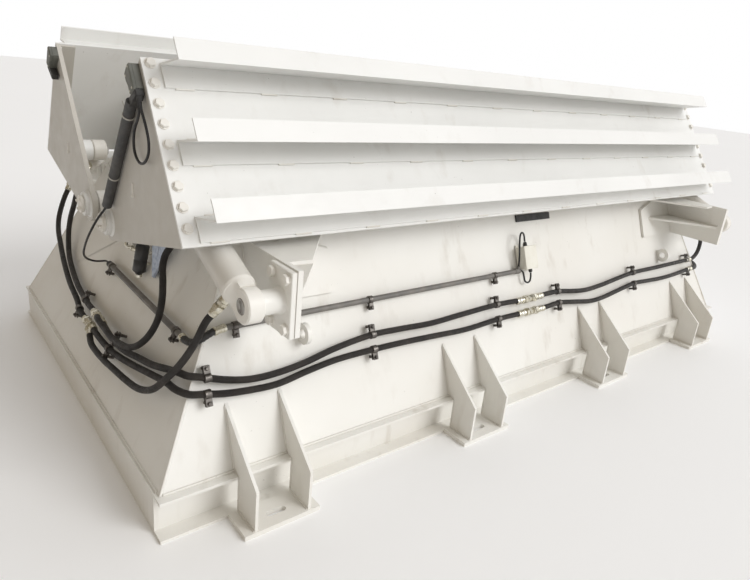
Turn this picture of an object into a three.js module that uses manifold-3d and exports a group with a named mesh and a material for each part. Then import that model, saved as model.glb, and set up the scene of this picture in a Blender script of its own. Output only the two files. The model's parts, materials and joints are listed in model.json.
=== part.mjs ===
// Hydraulic twin-jaw discharge gate on a tapered steel hopper, shown with its jaws open.
// Millimetres.  X runs along the gate, Y across it, Z up.  Origin: centre of the base, floor level.
// The gate is the same at both ends and on both sides, so a corner piece is drawn once, at +X +Y,
// and mirrored.  near = -X (the service end, where the hoses meet), far = +X, right = -Y, left = +Y.

import * as THREE from 'three';
import { ConvexGeometry } from 'three/addons/geometries/ConvexGeometry.js';
import { mergeVertices } from 'three/addons/utils/BufferGeometryUtils.js';
import Module from 'manifold-3d';

const wasm = await Module();
wasm.setup();

// ---------------------------------------------------------------- driving dimensions

const GAP = 0.3;                      // left between two separate pieces that touch

const RAIL = { height: 140, depth: 58, flange: 10, web: 7, halfLength: 1720, halfWidth: 930 };

const HOPPER = {
  rim: 1190,                          // height of the outlet rim
  plate: 8,
  sideFoot: 899, sideLean: 0.394,     // outside of a side wall at rail height, and its lean per mm
  endFoot: 1710.9, endLean: 0.496,    // the same for an end wall
};

const LUG = { x: 1188, z: 497, radius: 36, hole: 16, thick: 16, standOff: 30 };

const WELD_ROOT = 4;                  // how far a welded-on piece reaches into the wall's plate

const FOOT = {
  stations: [-1384, -462, 462, 1384],
  plateHalf: 130, plateEdge: 1046, plateThick: 16,
  gussetInner: 87, gussetOuter: 97, gussetEdge: 1042, gussetShoulder: 155, gussetTop: 337,
  slotY: 995, slotLength: 68, slotWidth: 22,
};

const BRACKET = {
  plateInner: 1339, plateOuter: 1355, bottom: 603, top: 805, reach: 998, root: 6,
  pad: [[1040, 600], [1400, 600], [1400, 787], [1185, 787], [1040, 740]], padThick: 12,
  ribThick: 10, ribLevel: 700, ribStart: 1104, ribReach: 985,
  shelfStart: 1045, shelfCorner: [1265, 925], shelfReach: 920,
};

const PIN_FLANGE = {
  width: 125, height: 200, thick: 17.5, stub: 36.5, pin: 24, pinTip: 5,
  boltY: 40, boltZ: 75, boltRadius: 17, boltHead: 12.5,
};

// A cylinder lies in a plane across the gate; s is measured along it from its fixed pin.
const CYLINDER = {
  x: 1467, y: 933, z: 700,
  along: [-0.9256, 0.3784],           // direction of the rod in Y and Z
  eye: 52, eyeWidth: 50, neckStart: 37, neckEnd: 62, neckHalf: 44,
  tube: 49, bore: 40, boreStart: 58, glandStart: 385, glandEnd: 415, gland: 52,
  rod: 22.5, pistonStart: 60, pistonEnd: 110, rodEye: 491.6, rodEyeRadius: 43, rodEyeWidth: 54,
  capPort: 80, rodPort: 400, portReach: 115,
};

const PIVOT = {
  y: 138.5, z: 738.7, pin: 25, boss: 48, bossEnd: 1572, cap: 33, capEnd: 1633, capThick: 12,
  ribThick: 12, ribFoot: 585, ribShoulder: 694, ribEdge: 1556,
  tieBottom: 718, tieTop: 732, tieEdge: 1540,
};

// Jaw section, measured from its pivot: the skin runs from its lip down and out to its tail.
const JAW = {
  lip: [363.4, 568.2], tail: [665.6, 100],
  halfLength: 1600, skin: 8, endPlate: 16, hubRadius: 66, hubRing: 45, hubRingEnd: 1620,
  seatWidth: 54, seatEnds: 6,
  clevis: [339.5, 147.3], clevisRadius: 42, clevisEnd: 1495,
};

const STIFFENER = {
  halfLength: 1549, plate: 6, outerEdges: [72.6, 304.7, 529.5],
  rise: 132, lean: 53.7, foot: 73, lipWidth: 62,
};

// The head and its cable block are outlined down the jaw's skin from the lip, and in from the skin.
// The sleeve runs from near the pivot to the block: each end is along the line to the lip, and off it.
const SENSOR = {
  headDepth: 32, head: [[9, -20], [9, -30], [18, -64], [42, -64], [66, -54], [88, -54], [88, -20]],
  blockStart: 3, blockEnd: 27, block: [[84, -98], [84, -20], [105, -20], [105, -98]],
  glandX: 15, glandY: 398.5, gland: 10, glandTop: 470, glandBottom: 453,
  sleeveX: 1618, sleeve: 16.5, sleeveEnds: [[80, -5], [556, 43.8]],
};

const HOSE = {
  diameter: 22, wallGap: 30, clampRadius: 15.5, clampWidth: 22, tabHeight: 34, tabThick: 8,
  clampStations: [-1530, -915, -240, 185, 855, 1460],
};
const FITTING = { ferrule: 14.5, nut: 18, body: 19, branch: 14, portBoss: 15 };
const CONDUIT = {
  diameter: 21, y: -756.2, z: 557, endX: -1551, endZ: 508,
  boot: 12.5, stubX: -70, stub: 7, clampRadius: 14, clampHalf: 10, clampStations: [-1420, -897, -224],
};
const CABLE = 8;
const BOX = {
  x: -10, y: -746.1, z: 610, size: [80, 50, 100], lid: 12,
  gland: 9, glandLength: 20, lowerGland: 15,
};

// ---------------------------------------------------------------- finishes

const finishes = {
  cream: { color: 0xeeebe2, roughness: 0.42, metalness: 0.0 },
  steel: { color: 0xb9b7b0, roughness: 0.3, metalness: 0.9 },
  chrome: { color: 0xd8d9da, roughness: 0.12, metalness: 1.0 },
  rubber: { color: 0x1d1a19, roughness: 0.62, metalness: 0.0 },
  plastic: { color: 0x232324, roughness: 0.5, metalness: 0.0 },
  conduit: { color: 0x5d5c5a, roughness: 0.55, metalness: 0.0 },
  boxGrey: { color: 0xdedcd2, roughness: 0.5, metalness: 0.0 },
};

function finish(name) {
  return new THREE.MeshStandardMaterial(finishes[name]);
}

// ---------------------------------------------------------------- solids

// A copy of a geometry that holds positions only, with the vertices that coincide made one.
function welded(geometry) {
  const copy = geometry.clone();
  copy.deleteAttribute('normal');
  copy.deleteAttribute('uv');
  return mergeVertices(copy, 1e-4);
}

function toSolid(geometry) {
  const merged = welded(geometry);
  const vertProperties = new Float32Array(merged.attributes.position.array);
  const triVerts = new Uint32Array(merged.index.array);
  return new wasm.Manifold(new wasm.Mesh({ numProp: 3, vertProperties, triVerts }));
}

function toGeometry(solid) {
  const mesh = solid.getMesh();
  const geometry = new THREE.BufferGeometry();
  geometry.setAttribute('position', new THREE.BufferAttribute(mesh.vertProperties, 3));
  geometry.setIndex(new THREE.BufferAttribute(mesh.triVerts, 1));
  geometry.computeVertexNormals();
  return geometry;
}

// Joins some geometries, then cuts others out of them.
function fuse(parts, cuts = []) {
  const joined = parts.map(toSolid).reduce((sum, part) => sum.add(part));
  return toGeometry(cuts.map(toSolid).reduce((rest, cut) => rest.subtract(cut), joined));
}

// A flat shape from points, with holes.
function outline(points, holes = []) {
  const shape = new THREE.Shape(points.map(([a, b]) => new THREE.Vector2(a, b)));
  shape.holes = holes.map((hole) => new THREE.Path(hole.map(([a, b]) => new THREE.Vector2(a, b))));
  return shape;
}

// A flat shape extruded along the third direction of a basis.
function plate(points, depth, basis, start, holes) {
  const geometry = new THREE.ExtrudeGeometry(outline(points, holes), { depth, bevelEnabled: false });
  geometry.applyMatrix4(new THREE.Matrix4().makeBasis(...basis).setPosition(start));
  return geometry;
}

const X = new THREE.Vector3(1, 0, 0);
const Y = new THREE.Vector3(0, 1, 0);
const Z = new THREE.Vector3(0, 0, 1);
const MINUS_Y = new THREE.Vector3(0, -1, 0);

// Plates extruded along X from (y, z) points, along Y from (x, z) points, along Z from (x, y) points.
const plateX = (points, x0, x1, holes) =>
  plate(points, x1 - x0, [Y, Z, X], new THREE.Vector3(x0, 0, 0), holes);
const plateY = (points, y0, y1, holes) =>
  plate(points, y1 - y0, [X, Z, MINUS_Y], new THREE.Vector3(0, y1, 0), holes);
const plateZ = (points, z0, z1, holes) =>
  plate(points, z1 - z0, [X, Y, Z], new THREE.Vector3(0, 0, z0), holes);

function hull(points) {
  return new ConvexGeometry(points.map(([x, y, z]) => new THREE.Vector3(x, y, z)));
}

// A round bar, or a six-sided one, between two points.
function bar(from, to, radius, sides = 24) {
  const start = new THREE.Vector3(...from);
  const run = new THREE.Vector3(...to).sub(start);
  const geometry = new THREE.CylinderGeometry(radius, radius, run.length(), sides);
  geometry.translate(0, run.length() / 2, 0);
  geometry.applyQuaternion(new THREE.Quaternion().setFromUnitVectors(Y, run.clone().normalize()));
  geometry.translate(start.x, start.y, start.z);
  return geometry;
}

function box(low, high) {
  const size = high.map((value, i) => value - low[i]);
  const geometry = new THREE.BoxGeometry(...size);
  geometry.translate(...low.map((value, i) => value + size[i] / 2));
  return geometry;
}

function ring(radius, count, [cx, cy] = [0, 0]) {
  return Array.from({ length: count }, (_, i) => {
    const angle = (2 * Math.PI * i) / count;
    return [cx + radius * Math.cos(angle), cy + radius * Math.sin(angle)];
  });
}

const smooth = (points) =>
  new THREE.CatmullRomCurve3(points.map((p) => new THREE.Vector3(...p)), false, 'centripetal');

// A tube of the given diameter along a smooth curve through the points.
function tube(points, diameter, stepDiameters = 2.5, sides = 8) {
  const curve = smooth(points);
  const steps = Math.min(80, Math.ceil(curve.getLength() / (stepDiameters * diameter)));
  const section = outline(ring(diameter / 2, sides));
  return new THREE.ExtrudeGeometry(section, { steps, extrudePath: curve, bevelEnabled: false });
}

// The outline of a bent strip: a path thickened to both sides, with mitred corners.
function strip(path, thick) {
  const normals = path.slice(1).map(([a, b], i) => {
    const run = new THREE.Vector2(a - path[i][0], b - path[i][1]).normalize();
    return new THREE.Vector2(-run.y, run.x);
  });
  const offset = (side) => path.map(([a, b], i) => {
    const before = normals[Math.max(i - 1, 0)];
    const after = normals[Math.min(i, normals.length - 1)];
    const mitre = before.clone().add(after);
    mitre.multiplyScalar((side * thick) / mitre.dot(after) / 2);
    return [a + mitre.x, b + mitre.y];
  });
  return [...offset(1), ...offset(-1).reverse()];
}

// Mirrors a geometry drawn at +X +Y to another corner, keeping its faces outward.
function mirrored(geometry, sx, sy) {
  const copy = welded(geometry);
  copy.scale(sx, sy, 1);
  if (sx * sy < 0) {
    const index = copy.index.array;
    for (let i = 0; i < index.length; i += 3) {
      [index[i], index[i + 1]] = [index[i + 1], index[i]];
    }
  }
  copy.computeVertexNormals();
  return copy;
}

function add(group, name, geometry, finishName) {
  const mesh = new THREE.Mesh(geometry, finish(finishName));
  mesh.name = name;
  group.add(mesh);
  return mesh;
}

function groupAt(x, y, z) {
  const group = new THREE.Group();
  group.position.set(x, y, z);
  return group;
}

const ends = [['near', -1], ['far', 1]];
const sides = [['right', -1], ['left', 1]];

// ---------------------------------------------------------------- hopper surfaces

const sideSecant = Math.hypot(1, HOPPER.sideLean);
const endSecant = Math.hypot(1, HOPPER.endLean);

// Outside of a side wall (its Y) and of an end wall (its X) at a height, moved out square to the wall.
const sideY = (z, off = 0) => HOPPER.sideFoot - HOPPER.sideLean * (z - RAIL.height) + off * sideSecant;
const endX = (z, off = 0) => HOPPER.endFoot - HOPPER.endLean * (z - RAIL.height) + off * endSecant;

const wallFoot = RAIL.height + GAP;

// ---------------------------------------------------------------- base and hopper

// The side channels open outward, and the end channels, between them, open inward.
function sideRail() {
  const { height, flange, web, depth, halfWidth: tip } = RAIL;
  const back = tip - depth;
  const section = [
    [back, 0], [tip, 0], [tip, flange], [back + web, flange],
    [back + web, height - flange], [tip, height - flange], [tip, height], [back, height],
  ];
  return plateX(section, -RAIL.halfLength, RAIL.halfLength);
}

function endRail() {
  const { height, flange, web, depth, halfLength: tip } = RAIL;
  const back = tip - depth;
  const section = [
    [tip, 0], [tip, height], [back, height], [back, height - flange],
    [tip - web, height - flange], [tip - web, flange], [back, flange], [back, 0],
  ];
  const halfWidth = RAIL.halfWidth - depth - GAP;
  return plateY(section, -halfWidth, halfWidth);
}

function sideWall() {
  const corners = [];
  for (const z of [wallFoot, HOPPER.rim]) {
    for (const off of [0, -HOPPER.plate]) {
      const x = endX(z, -HOPPER.plate) - GAP;
      corners.push([x, sideY(z, off), z], [-x, sideY(z, off), z]);
    }
  }
  const lugY = sideY(LUG.z, LUG.standOff);
  const lugs = [];
  const holes = [];
  for (const x of [-LUG.x, LUG.x]) {
    lugs.push(bar([x - LUG.thick / 2, lugY, LUG.z], [x + LUG.thick / 2, lugY, LUG.z], LUG.radius));
    holes.push(bar([x - LUG.thick, lugY, LUG.z], [x + LUG.thick, lugY, LUG.z], LUG.hole));
  }
  return fuse([hull(corners), ...lugs], holes);
}

// An end wall carries the two pivot bosses, the ribs under them and the hinge pins with their caps.
function endWall() {
  const corners = [];
  for (const z of [wallFoot, HOPPER.rim]) {
    for (const off of [0, -HOPPER.plate]) {
      corners.push([endX(z, off), sideY(z), z], [endX(z, off), -sideY(z), z]);
    }
  }
  const { bossEnd, capEnd, ribThick, ribFoot, ribEdge, tieBottom, tieTop, tieEdge } = PIVOT;
  const root = (z) => endX(z, -WELD_ROOT);
  const parts = [hull(corners)];
  for (const side of [-1, 1]) {
    const y = side * PIVOT.y;
    const round = ring(PIVOT.boss, 16, [y, PIVOT.z]);
    parts.push(hull(round.flatMap(([a, b]) => [[bossEnd, a, b], [root(b), a, b]])));
    parts.push(bar([bossEnd - 5, y, PIVOT.z], [capEnd, y, PIVOT.z], PIVOT.pin));
    parts.push(bar([capEnd - PIVOT.capThick, y, PIVOT.z], [capEnd, y, PIVOT.z], PIVOT.cap));
    const rib = [
      [root(ribFoot), ribFoot], [ribEdge, PIVOT.ribShoulder], [ribEdge, PIVOT.z], [root(PIVOT.z), PIVOT.z],
    ];
    parts.push(plateY(rib, y - ribThick / 2, y + ribThick / 2));
  }
  const tie = [[root(tieBottom), tieBottom], [tieEdge, tieBottom], [tieEdge, tieTop], [root(tieTop), tieTop]];
  parts.push(plateY(tie, -PIVOT.y, PIVOT.y));
  return fuse(parts);
}

// One hold-down foot: a slotted plate with two gussets that reach over the rail to the side wall.
// Drawn with its origin at the middle of the rail's outer edge.
function foot() {
  const edge = RAIL.halfWidth + GAP;
  const slotEnds = (FOOT.slotLength - FOOT.slotWidth) / 2;
  const slotRadius = FOOT.slotWidth / 2;
  const slot = [];
  for (const [end, from] of [[1, -90], [-1, 90]]) {
    for (let degrees = from; degrees <= from + 180; degrees += 30) {
      const angle = THREE.MathUtils.degToRad(degrees);
      slot.push([end * slotEnds + slotRadius * Math.cos(angle), FOOT.slotY + slotRadius * Math.sin(angle)]);
    }
  }
  const base = [
    [-FOOT.plateHalf, edge], [FOOT.plateHalf, edge],
    [FOOT.plateHalf, FOOT.plateEdge], [-FOOT.plateHalf, FOOT.plateEdge],
  ];
  const clear = 0.5;
  const gusset = [
    [edge, FOOT.plateThick / 2], [FOOT.gussetEdge, FOOT.plateThick / 2],
    [FOOT.gussetEdge, FOOT.gussetShoulder],
    [sideY(FOOT.gussetTop, clear), FOOT.gussetTop],
    [sideY(RAIL.height + clear, clear), RAIL.height + clear], [edge, RAIL.height + clear],
  ];
  const geometry = fuse([
    plateZ(base, 0, FOOT.plateThick, [slot]),
    plateX(gusset, -FOOT.gussetOuter, -FOOT.gussetInner),
    plateX(gusset, FOOT.gussetInner, FOOT.gussetOuter),
  ]);
  geometry.translate(0, -RAIL.halfWidth, 0);
  return geometry;
}

// ---------------------------------------------------------------- cylinder mounts

// A cylinder bracket: a pad on the side wall, an upright main plate, a top shelf and a middle rib.
function bracket() {
  const padFace = GAP + BRACKET.padThick;
  const pad = hull(BRACKET.pad.flatMap(([x, z]) => [[x, sideY(z, GAP), z], [x, sideY(z, padFace), z]]));
  const main = [
    [sideY(BRACKET.bottom, BRACKET.root), BRACKET.bottom], [BRACKET.reach, BRACKET.bottom],
    [BRACKET.reach, BRACKET.top], [sideY(BRACKET.top, 1), BRACKET.top],
  ];
  const joint = (BRACKET.plateInner + BRACKET.plateOuter) / 2;
  const shelfBottom = BRACKET.top - BRACKET.ribThick;
  const shelfWall = sideY(shelfBottom, 1);
  const shelf = [
    [joint, shelfWall], [joint, BRACKET.shelfReach], BRACKET.shelfCorner, [BRACKET.shelfStart, shelfWall],
  ];
  const ribBottom = BRACKET.ribLevel - BRACKET.ribThick;
  const ribWall = sideY(ribBottom, BRACKET.root);
  const rib = [[joint, ribWall], [joint, BRACKET.ribReach], [BRACKET.ribStart, ribWall]];
  return fuse([
    pad,
    plateX(main, BRACKET.plateInner, BRACKET.plateOuter),
    plateZ(shelf, shelfBottom, BRACKET.top),
    plateZ(rib, ribBottom, BRACKET.ribLevel),
  ]);
}

// A flange bolted to the bracket, with the fixed pin of a cylinder.  Origin on the pin's axis.
function pinFlange() {
  const start = BRACKET.plateOuter + GAP;
  const face = start + PIN_FLANGE.thick;
  const eyeFace = CYLINDER.x - CYLINDER.eyeWidth / 2;
  const pinEnd = CYLINDER.x + CYLINDER.eyeWidth / 2 + PIN_FLANGE.pinTip;
  const halfY = PIN_FLANGE.width / 2;
  const halfZ = PIN_FLANGE.height / 2;
  const parts = [
    box([start, -halfY, -halfZ], [face, halfY, halfZ]),
    bar([face - 1, 0, 0], [eyeFace - 0.6, 0, 0], PIN_FLANGE.stub),
    bar([face - 1, 0, 0], [pinEnd, 0, 0], PIN_FLANGE.pin),
  ];
  for (const y of [-PIN_FLANGE.boltY, PIN_FLANGE.boltY]) {
    for (const z of [-PIN_FLANGE.boltZ, PIN_FLANGE.boltZ]) {
      parts.push(bar([face - 1, y, z], [face + PIN_FLANGE.boltHead, y, z], PIN_FLANGE.boltRadius, 6));
    }
  }
  const geometry = fuse(parts);
  geometry.translate(-CYLINDER.x, 0, 0);
  return geometry;
}

// ---------------------------------------------------------------- cylinders

// A point s along a cylinder from its fixed pin, r out along a port's direction.
const [alongY, alongZ] = CYLINDER.along;
const portTilt = Math.PI / 6;
const portWay = [Math.sin(portTilt), alongZ * -Math.cos(portTilt), alongY * Math.cos(portTilt)];
const onCylinder = (s, r = 0) => [r * portWay[0], s * alongY + r * portWay[1], s * alongZ + r * portWay[2]];

// A port s along the barrel, with its boss, the nut of the hose fitting and the fitting's ferrule.
function port(s) {
  const { bore, portReach } = CYLINDER;
  const nut = portReach - 45;
  return [
    bar(onCylinder(s, bore + 4), onCylinder(s, nut + 1), FITTING.portBoss, 8),
    bar(onCylinder(s, nut), onCylinder(s, nut + 20), FITTING.nut, 6),
    bar(onCylinder(s, nut + 19), onCylinder(s, portReach), FITTING.ferrule, 8),
  ];
}

// The neck between the flat eye and the round tube.
function barrelNeck() {
  const half = CYLINDER.eyeWidth / 2;
  const section = (s, points) => points.map(([x, n]) => [
    x, s * alongY - n * alongZ, s * alongZ + n * alongY,
  ]);
  const { neckStart, neckEnd, neckHalf, tube: radius } = CYLINDER;
  const eyeEdge = [[-half, -neckHalf], [half, -neckHalf], [half, neckHalf], [-half, neckHalf]];
  return hull([...section(neckStart, eyeEdge), ...section(neckEnd, ring(radius, 16))]);
}

function barrel() {
  const half = CYLINDER.eyeWidth / 2;
  const pinHole = PIN_FLANGE.pin + 0.5;
  return fuse(
    [
      bar([-half, 0, 0], [half, 0, 0], CYLINDER.eye),
      barrelNeck(),
      bar(onCylinder(CYLINDER.neckEnd - 1), onCylinder(CYLINDER.glandStart + 1), CYLINDER.tube, 16),
      bar(onCylinder(CYLINDER.glandStart), onCylinder(CYLINDER.glandEnd), CYLINDER.gland, 16),
      ...port(CYLINDER.capPort),
      ...port(CYLINDER.rodPort),
    ],
    [
      bar(onCylinder(CYLINDER.boreStart), onCylinder(CYLINDER.glandStart), CYLINDER.bore, 16),
      bar(onCylinder(CYLINDER.glandStart - 1), onCylinder(CYLINDER.glandEnd + 1), CYLINDER.rod + 0.5, 16),
      bar([-half - 1, 0, 0], [half + 1, 0, 0], pinHole),
    ],
  );
}

// The piston, the rod, its eye and the pin that holds the eye to a jaw's clevis boss.
function pistonRod() {
  const half = CYLINDER.rodEyeWidth / 2;
  const [, eyeY, eyeZ] = onCylinder(CYLINDER.rodEye);
  return fuse([
    bar(onCylinder(CYLINDER.pistonStart), onCylinder(CYLINDER.pistonEnd), CYLINDER.bore - 0.7, 16),
    bar(onCylinder(CYLINDER.pistonEnd - 1), onCylinder(CYLINDER.rodEye - 20), CYLINDER.rod, 16),
    bar([-half, eyeY, eyeZ], [half, eyeY, eyeZ], CYLINDER.rodEyeRadius),
    bar([-half - 12, eyeY, eyeZ], [0, eyeY, eyeZ], PIN_FLANGE.pin, 16),
  ]);
}

// ---------------------------------------------------------------- jaws

const skinRun = new THREE.Vector2(JAW.tail[0] - JAW.lip[0], JAW.tail[1] - JAW.lip[1]);
const skinLength = skinRun.length();
const down = skinRun.clone().normalize();
const out = new THREE.Vector2(-down.y, down.x);

// A point of the jaw section: s down the skin's outside from the lip, n out from it.
const onSkin = (s, n) => [
  JAW.lip[0] + down.x * s + out.x * n,
  JAW.lip[1] + down.y * s + out.y * n,
];

function jawSkin() {
  const section = [
    onSkin(0, 0), onSkin(skinLength, 0), onSkin(skinLength, -JAW.skin), onSkin(0, -JAW.skin),
  ];
  return plateX(section, -JAW.halfLength, JAW.halfLength);
}

function jawEndPlate() {
  const inner = JAW.halfLength - JAW.endPlate;
  const under = -JAW.skin - GAP;
  const rim = [onSkin(0, under), onSkin(skinLength, under), ...ring(JAW.hubRadius, 32)];
  const seat = [
    onSkin(JAW.seatEnds, under), onSkin(skinLength - JAW.seatEnds, under),
    onSkin(skinLength - JAW.seatEnds, under - JAW.skin), onSkin(JAW.seatEnds, under - JAW.skin),
  ];
  const [clevisY, clevisZ] = JAW.clevis;
  const hole = PIVOT.pin + 0.5;
  return fuse(
    [
      hull(rim.flatMap(([y, z]) => [[inner, y, z], [JAW.halfLength, y, z]])),
      plateX(seat, inner - JAW.seatWidth, inner + 1),
      bar([PIVOT.bossEnd + 0.8, 0, 0], [JAW.hubRingEnd, 0, 0], JAW.hubRing),
      bar([JAW.clevisEnd, clevisY, clevisZ], [inner + 1, clevisY, clevisZ], JAW.clevisRadius),
    ],
    [bar([PIVOT.bossEnd, 0, 0], [JAW.hubRingEnd + 1, 0, 0], hole)],
  );
}

function stiffener(outerEdge) {
  const mid = STIFFENER.plate / 2;
  const root = outerEdge - STIFFENER.lean;
  const path = [
    onSkin(root + STIFFENER.foot, mid + GAP), onSkin(root, mid + GAP),
    onSkin(outerEdge, STIFFENER.rise - mid), onSkin(outerEdge - STIFFENER.lipWidth, STIFFENER.rise - mid),
  ];
  return plateX(strip(path, STIFFENER.plate), -STIFFENER.halfLength, STIFFENER.halfLength);
}

// Position sensor at the near end of a jaw: a head by the lip, a block with a gland for its cable,
// and, on one side, a sleeve that leads a cable down to the pivot.
function jawSensor(withSleeve) {
  const back = -JAW.halfLength - GAP;
  const slab = (points, start, depth) => plateX(points.map(([s, n]) => onSkin(s, n)), start - depth, start);
  const gland = [back - SENSOR.glandX, SENSOR.glandY];
  const parts = [
    slab(SENSOR.head, back, SENSOR.headDepth),
    slab(SENSOR.block, back - SENSOR.blockStart, SENSOR.blockEnd - SENSOR.blockStart),
    bar([...gland, SENSOR.glandBottom], [...gland, SENSOR.glandTop], SENSOR.gland, 12),
  ];
  if (withSleeve) {
    const reach = Math.hypot(...JAW.lip);
    const [upY, upZ] = JAW.lip.map((value) => value / reach);
    const [low, high] = SENSOR.sleeveEnds.map(([r, off]) =>
      [-SENSOR.sleeveX, upY * r + upZ * off, upZ * r - upY * off]);
    parts.push(bar(low, high, SENSOR.sleeve, 16));
  }
  return fuse(parts);
}

// ---------------------------------------------------------------- hydraulic lines and cables

// A clamp round a side line with its stand-off tab: up the wall (+1) or down it (-1).
function sideClamp(x, z, way) {
  const half = HOSE.clampWidth / 2;
  const y = sideY(z, HOSE.wallGap);
  const tabEnd = z + way * HOSE.tabHeight;
  const inner = HOSE.wallGap - HOSE.tabThick / 2;
  const outer = HOSE.wallGap + HOSE.tabThick / 2;
  const tab = [[z, inner], [z, outer], [tabEnd, inner], [tabEnd, outer]];
  const stem = [[tabEnd - 5, 0.6], [tabEnd - 5, outer], [tabEnd + 5, 0.6], [tabEnd + 5, outer]];
  const slab = (points) => hull(points.flatMap(([height, off]) =>
    [[x - half, -sideY(height, off), height], [x + half, -sideY(height, off), height]]));
  return [bar([x - half, -y, z], [x + half, -y, z], HOSE.clampRadius, 8), slab(tab), slab(stem)];
}

// Ferrules and nuts where two lengths of a side line meet.
function sideCoupling(z) {
  const y = -sideY(z, HOSE.wallGap);
  const run = (x0, x1, radius, count) => bar([x0, y, z], [x1, y, z], radius, count);
  return [
    run(-117, -67, FITTING.ferrule, 8), run(-68, -38, FITTING.nut, 6),
    run(-16, 14, FITTING.nut, 6), run(13, 63, FITTING.ferrule, 8),
  ];
}

const onSideWall = ([x, z]) => [x, -sideY(z, HOSE.wallGap), z];

const upperSideRoute = [
  [1490, 443], [1400, 443], [1250, 443], [1100, 443], [850, 444], [690, 434], [540, 422], [400, 418],
  [290, 428], [185, 441], [80, 442], [-30, 440], [-240, 446], [-460, 441], [-630, 436], [-780, 442],
  [-915, 445], [-1080, 430], [-1200, 410], [-1310, 400], [-1400, 402], [-1480, 418],
].map(onSideWall);

const upperEndRoute = [
  [-1550, -808, 438], [-1582, -797, 444], [-1600, -760, 444], [-1606, -710, 430], [-1620, -600, 398],
  [-1629, -487, 374], [-1639, -382, 354], [-1644, -257, 345], [-1641, -143, 351], [-1640, -100, 352],
];

const lowerSideRoute = [
  [1490, 391], [1400, 388], [1270, 382], [1140, 381], [1000, 386], [850, 391], [740, 382], [640, 372],
  [540, 363], [440, 362], [310, 377], [185, 391], [80, 388], [-30, 387], [-240, 389], [-440, 382],
  [-640, 389], [-780, 394], [-915, 396], [-1080, 394], [-1200, 382], [-1310, 368], [-1400, 371],
  [-1485, 380],
].map(onSideWall);

const lowerEndRoute = [
  [-1550, -830, 392], [-1590, -822, 398], [-1614, -785, 401], [-1620, -723, 396], [-1630, -600, 370],
  [-1645, -451, 340], [-1657, -291, 315], [-1661, -133, 309], [-1659, -45, 313],
];

// A held line: the hose with its clamps, coupling, end ferrule and the tee on the near end wall.
function hydraulicLine(route, level, tabWay, tee) {
  const parts = [tube(route, HOSE.diameter, 3.5)];
  const [x0, y0, z0] = route[0];
  parts.push(bar([x0 - 45, y0, z0], [x0 + 7, y0, z0], FITTING.ferrule, 8));
  for (const x of HOSE.clampStations) {
    parts.push(...sideClamp(x, level(x), tabWay));
  }
  parts.push(...sideCoupling(level(0)), ...tee);
  return fuse(parts);
}

// Height of a side route at a station, read off its curve.
function levelOf(route) {
  const samples = smooth(route).getSpacedPoints(400);
  return (x) => samples.reduce((best, p) => (Math.abs(p.x - x) < Math.abs(best.x - x) ? p : best)).z;
}

// The tees on the near end wall, each with its run of ferrules, body, nut and branch.
const upperTee = [
  bar([-1640, -112, 352], [-1638, -8, 354], FITTING.ferrule, 8),
  bar([-1640, -85, 352], [-1639, -55, 353], FITTING.body, 6),
  bar([-1639, -45, 353], [-1638, -25, 354], FITTING.nut, 6),
  bar([-1654, -112, 374], [-1641, -66, 355], FITTING.branch, 8),
];

const lowerTee = [
  bar([-1660, -60, 312], [-1661, 32, 312], FITTING.ferrule, 8),
  bar([-1660, -36, 312], [-1660, -4, 312], FITTING.body, 6),
  bar([-1661, 6, 312], [-1661, 26, 312], FITTING.nut, 6),
  bar([-1675, -80, 292], [-1661, -20, 310], FITTING.branch, 8),
];

// Along the near end wall, round the corner of the hopper, then level along the side wall.
const conduitRoute = [
  ...[75, -100, -300, -500, -650].map((y) => [CONDUIT.endX, y, CONDUIT.endZ]),
  [-1551, -700, 510], [-1545, -738, 519], [-1529, -758, 535], [-1503, -762, 550], [-1465, -757, 557],
  ...[-1300, -1100, -900, -700, -500, -300, -79].map((x) => [x, CONDUIT.y, CONDUIT.z]),
];

// The conduit with its clamps, the tee-shaped boot under the junction box and its end sleeve.
function conduit() {
  const { y, z, endX: sleeveX, endZ: sleeveZ, boot, stubX, clampHalf } = CONDUIT;
  const parts = [
    tube(conduitRoute, CONDUIT.diameter, 3),
    bar([stubX - 22, y, z], [stubX + 12, y, z], boot, 12),
    bar([stubX, y, z], [stubX, y, z + 22], CONDUIT.stub, 12),
    bar([sleeveX, 55, sleeveZ], [sleeveX, 84, sleeveZ], boot, 12),
  ];
  for (const x of CONDUIT.clampStations) {
    parts.push(bar([x - clampHalf, y, z], [x + clampHalf, y, z], CONDUIT.clampRadius, 8));
    const arm = [
      [y, z - 6], [y + 8, z - 8], [-sideY(z - 26, 0.6), z - 26],
      [-sideY(z - 34, 0.6), z - 34], [y, z - 20],
    ];
    parts.push(plateX(arm, x - clampHalf, x + clampHalf));
  }
  return fuse(parts);
}

// The junction box with its lid, a cable gland in its top and one in its bottom.
function junctionBox() {
  const [w, d, h] = BOX.size.map((value) => value / 2);
  const lip = 2;
  const glandEnd = h + BOX.glandLength;
  return fuse([
    box([-w, -d, -h], [w, d, h]),
    box([-w - lip, -d - lip, -h - lip], [w + lip, BOX.lid - d, h + lip]),
    bar([0, 0, h - 1], [0, 0, glandEnd], BOX.gland, 12),
    bar([BOX.lowerGland, 0, 1 - h], [BOX.lowerGland, 0, -glandEnd], BOX.gland, 12),
  ]);
}

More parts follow.
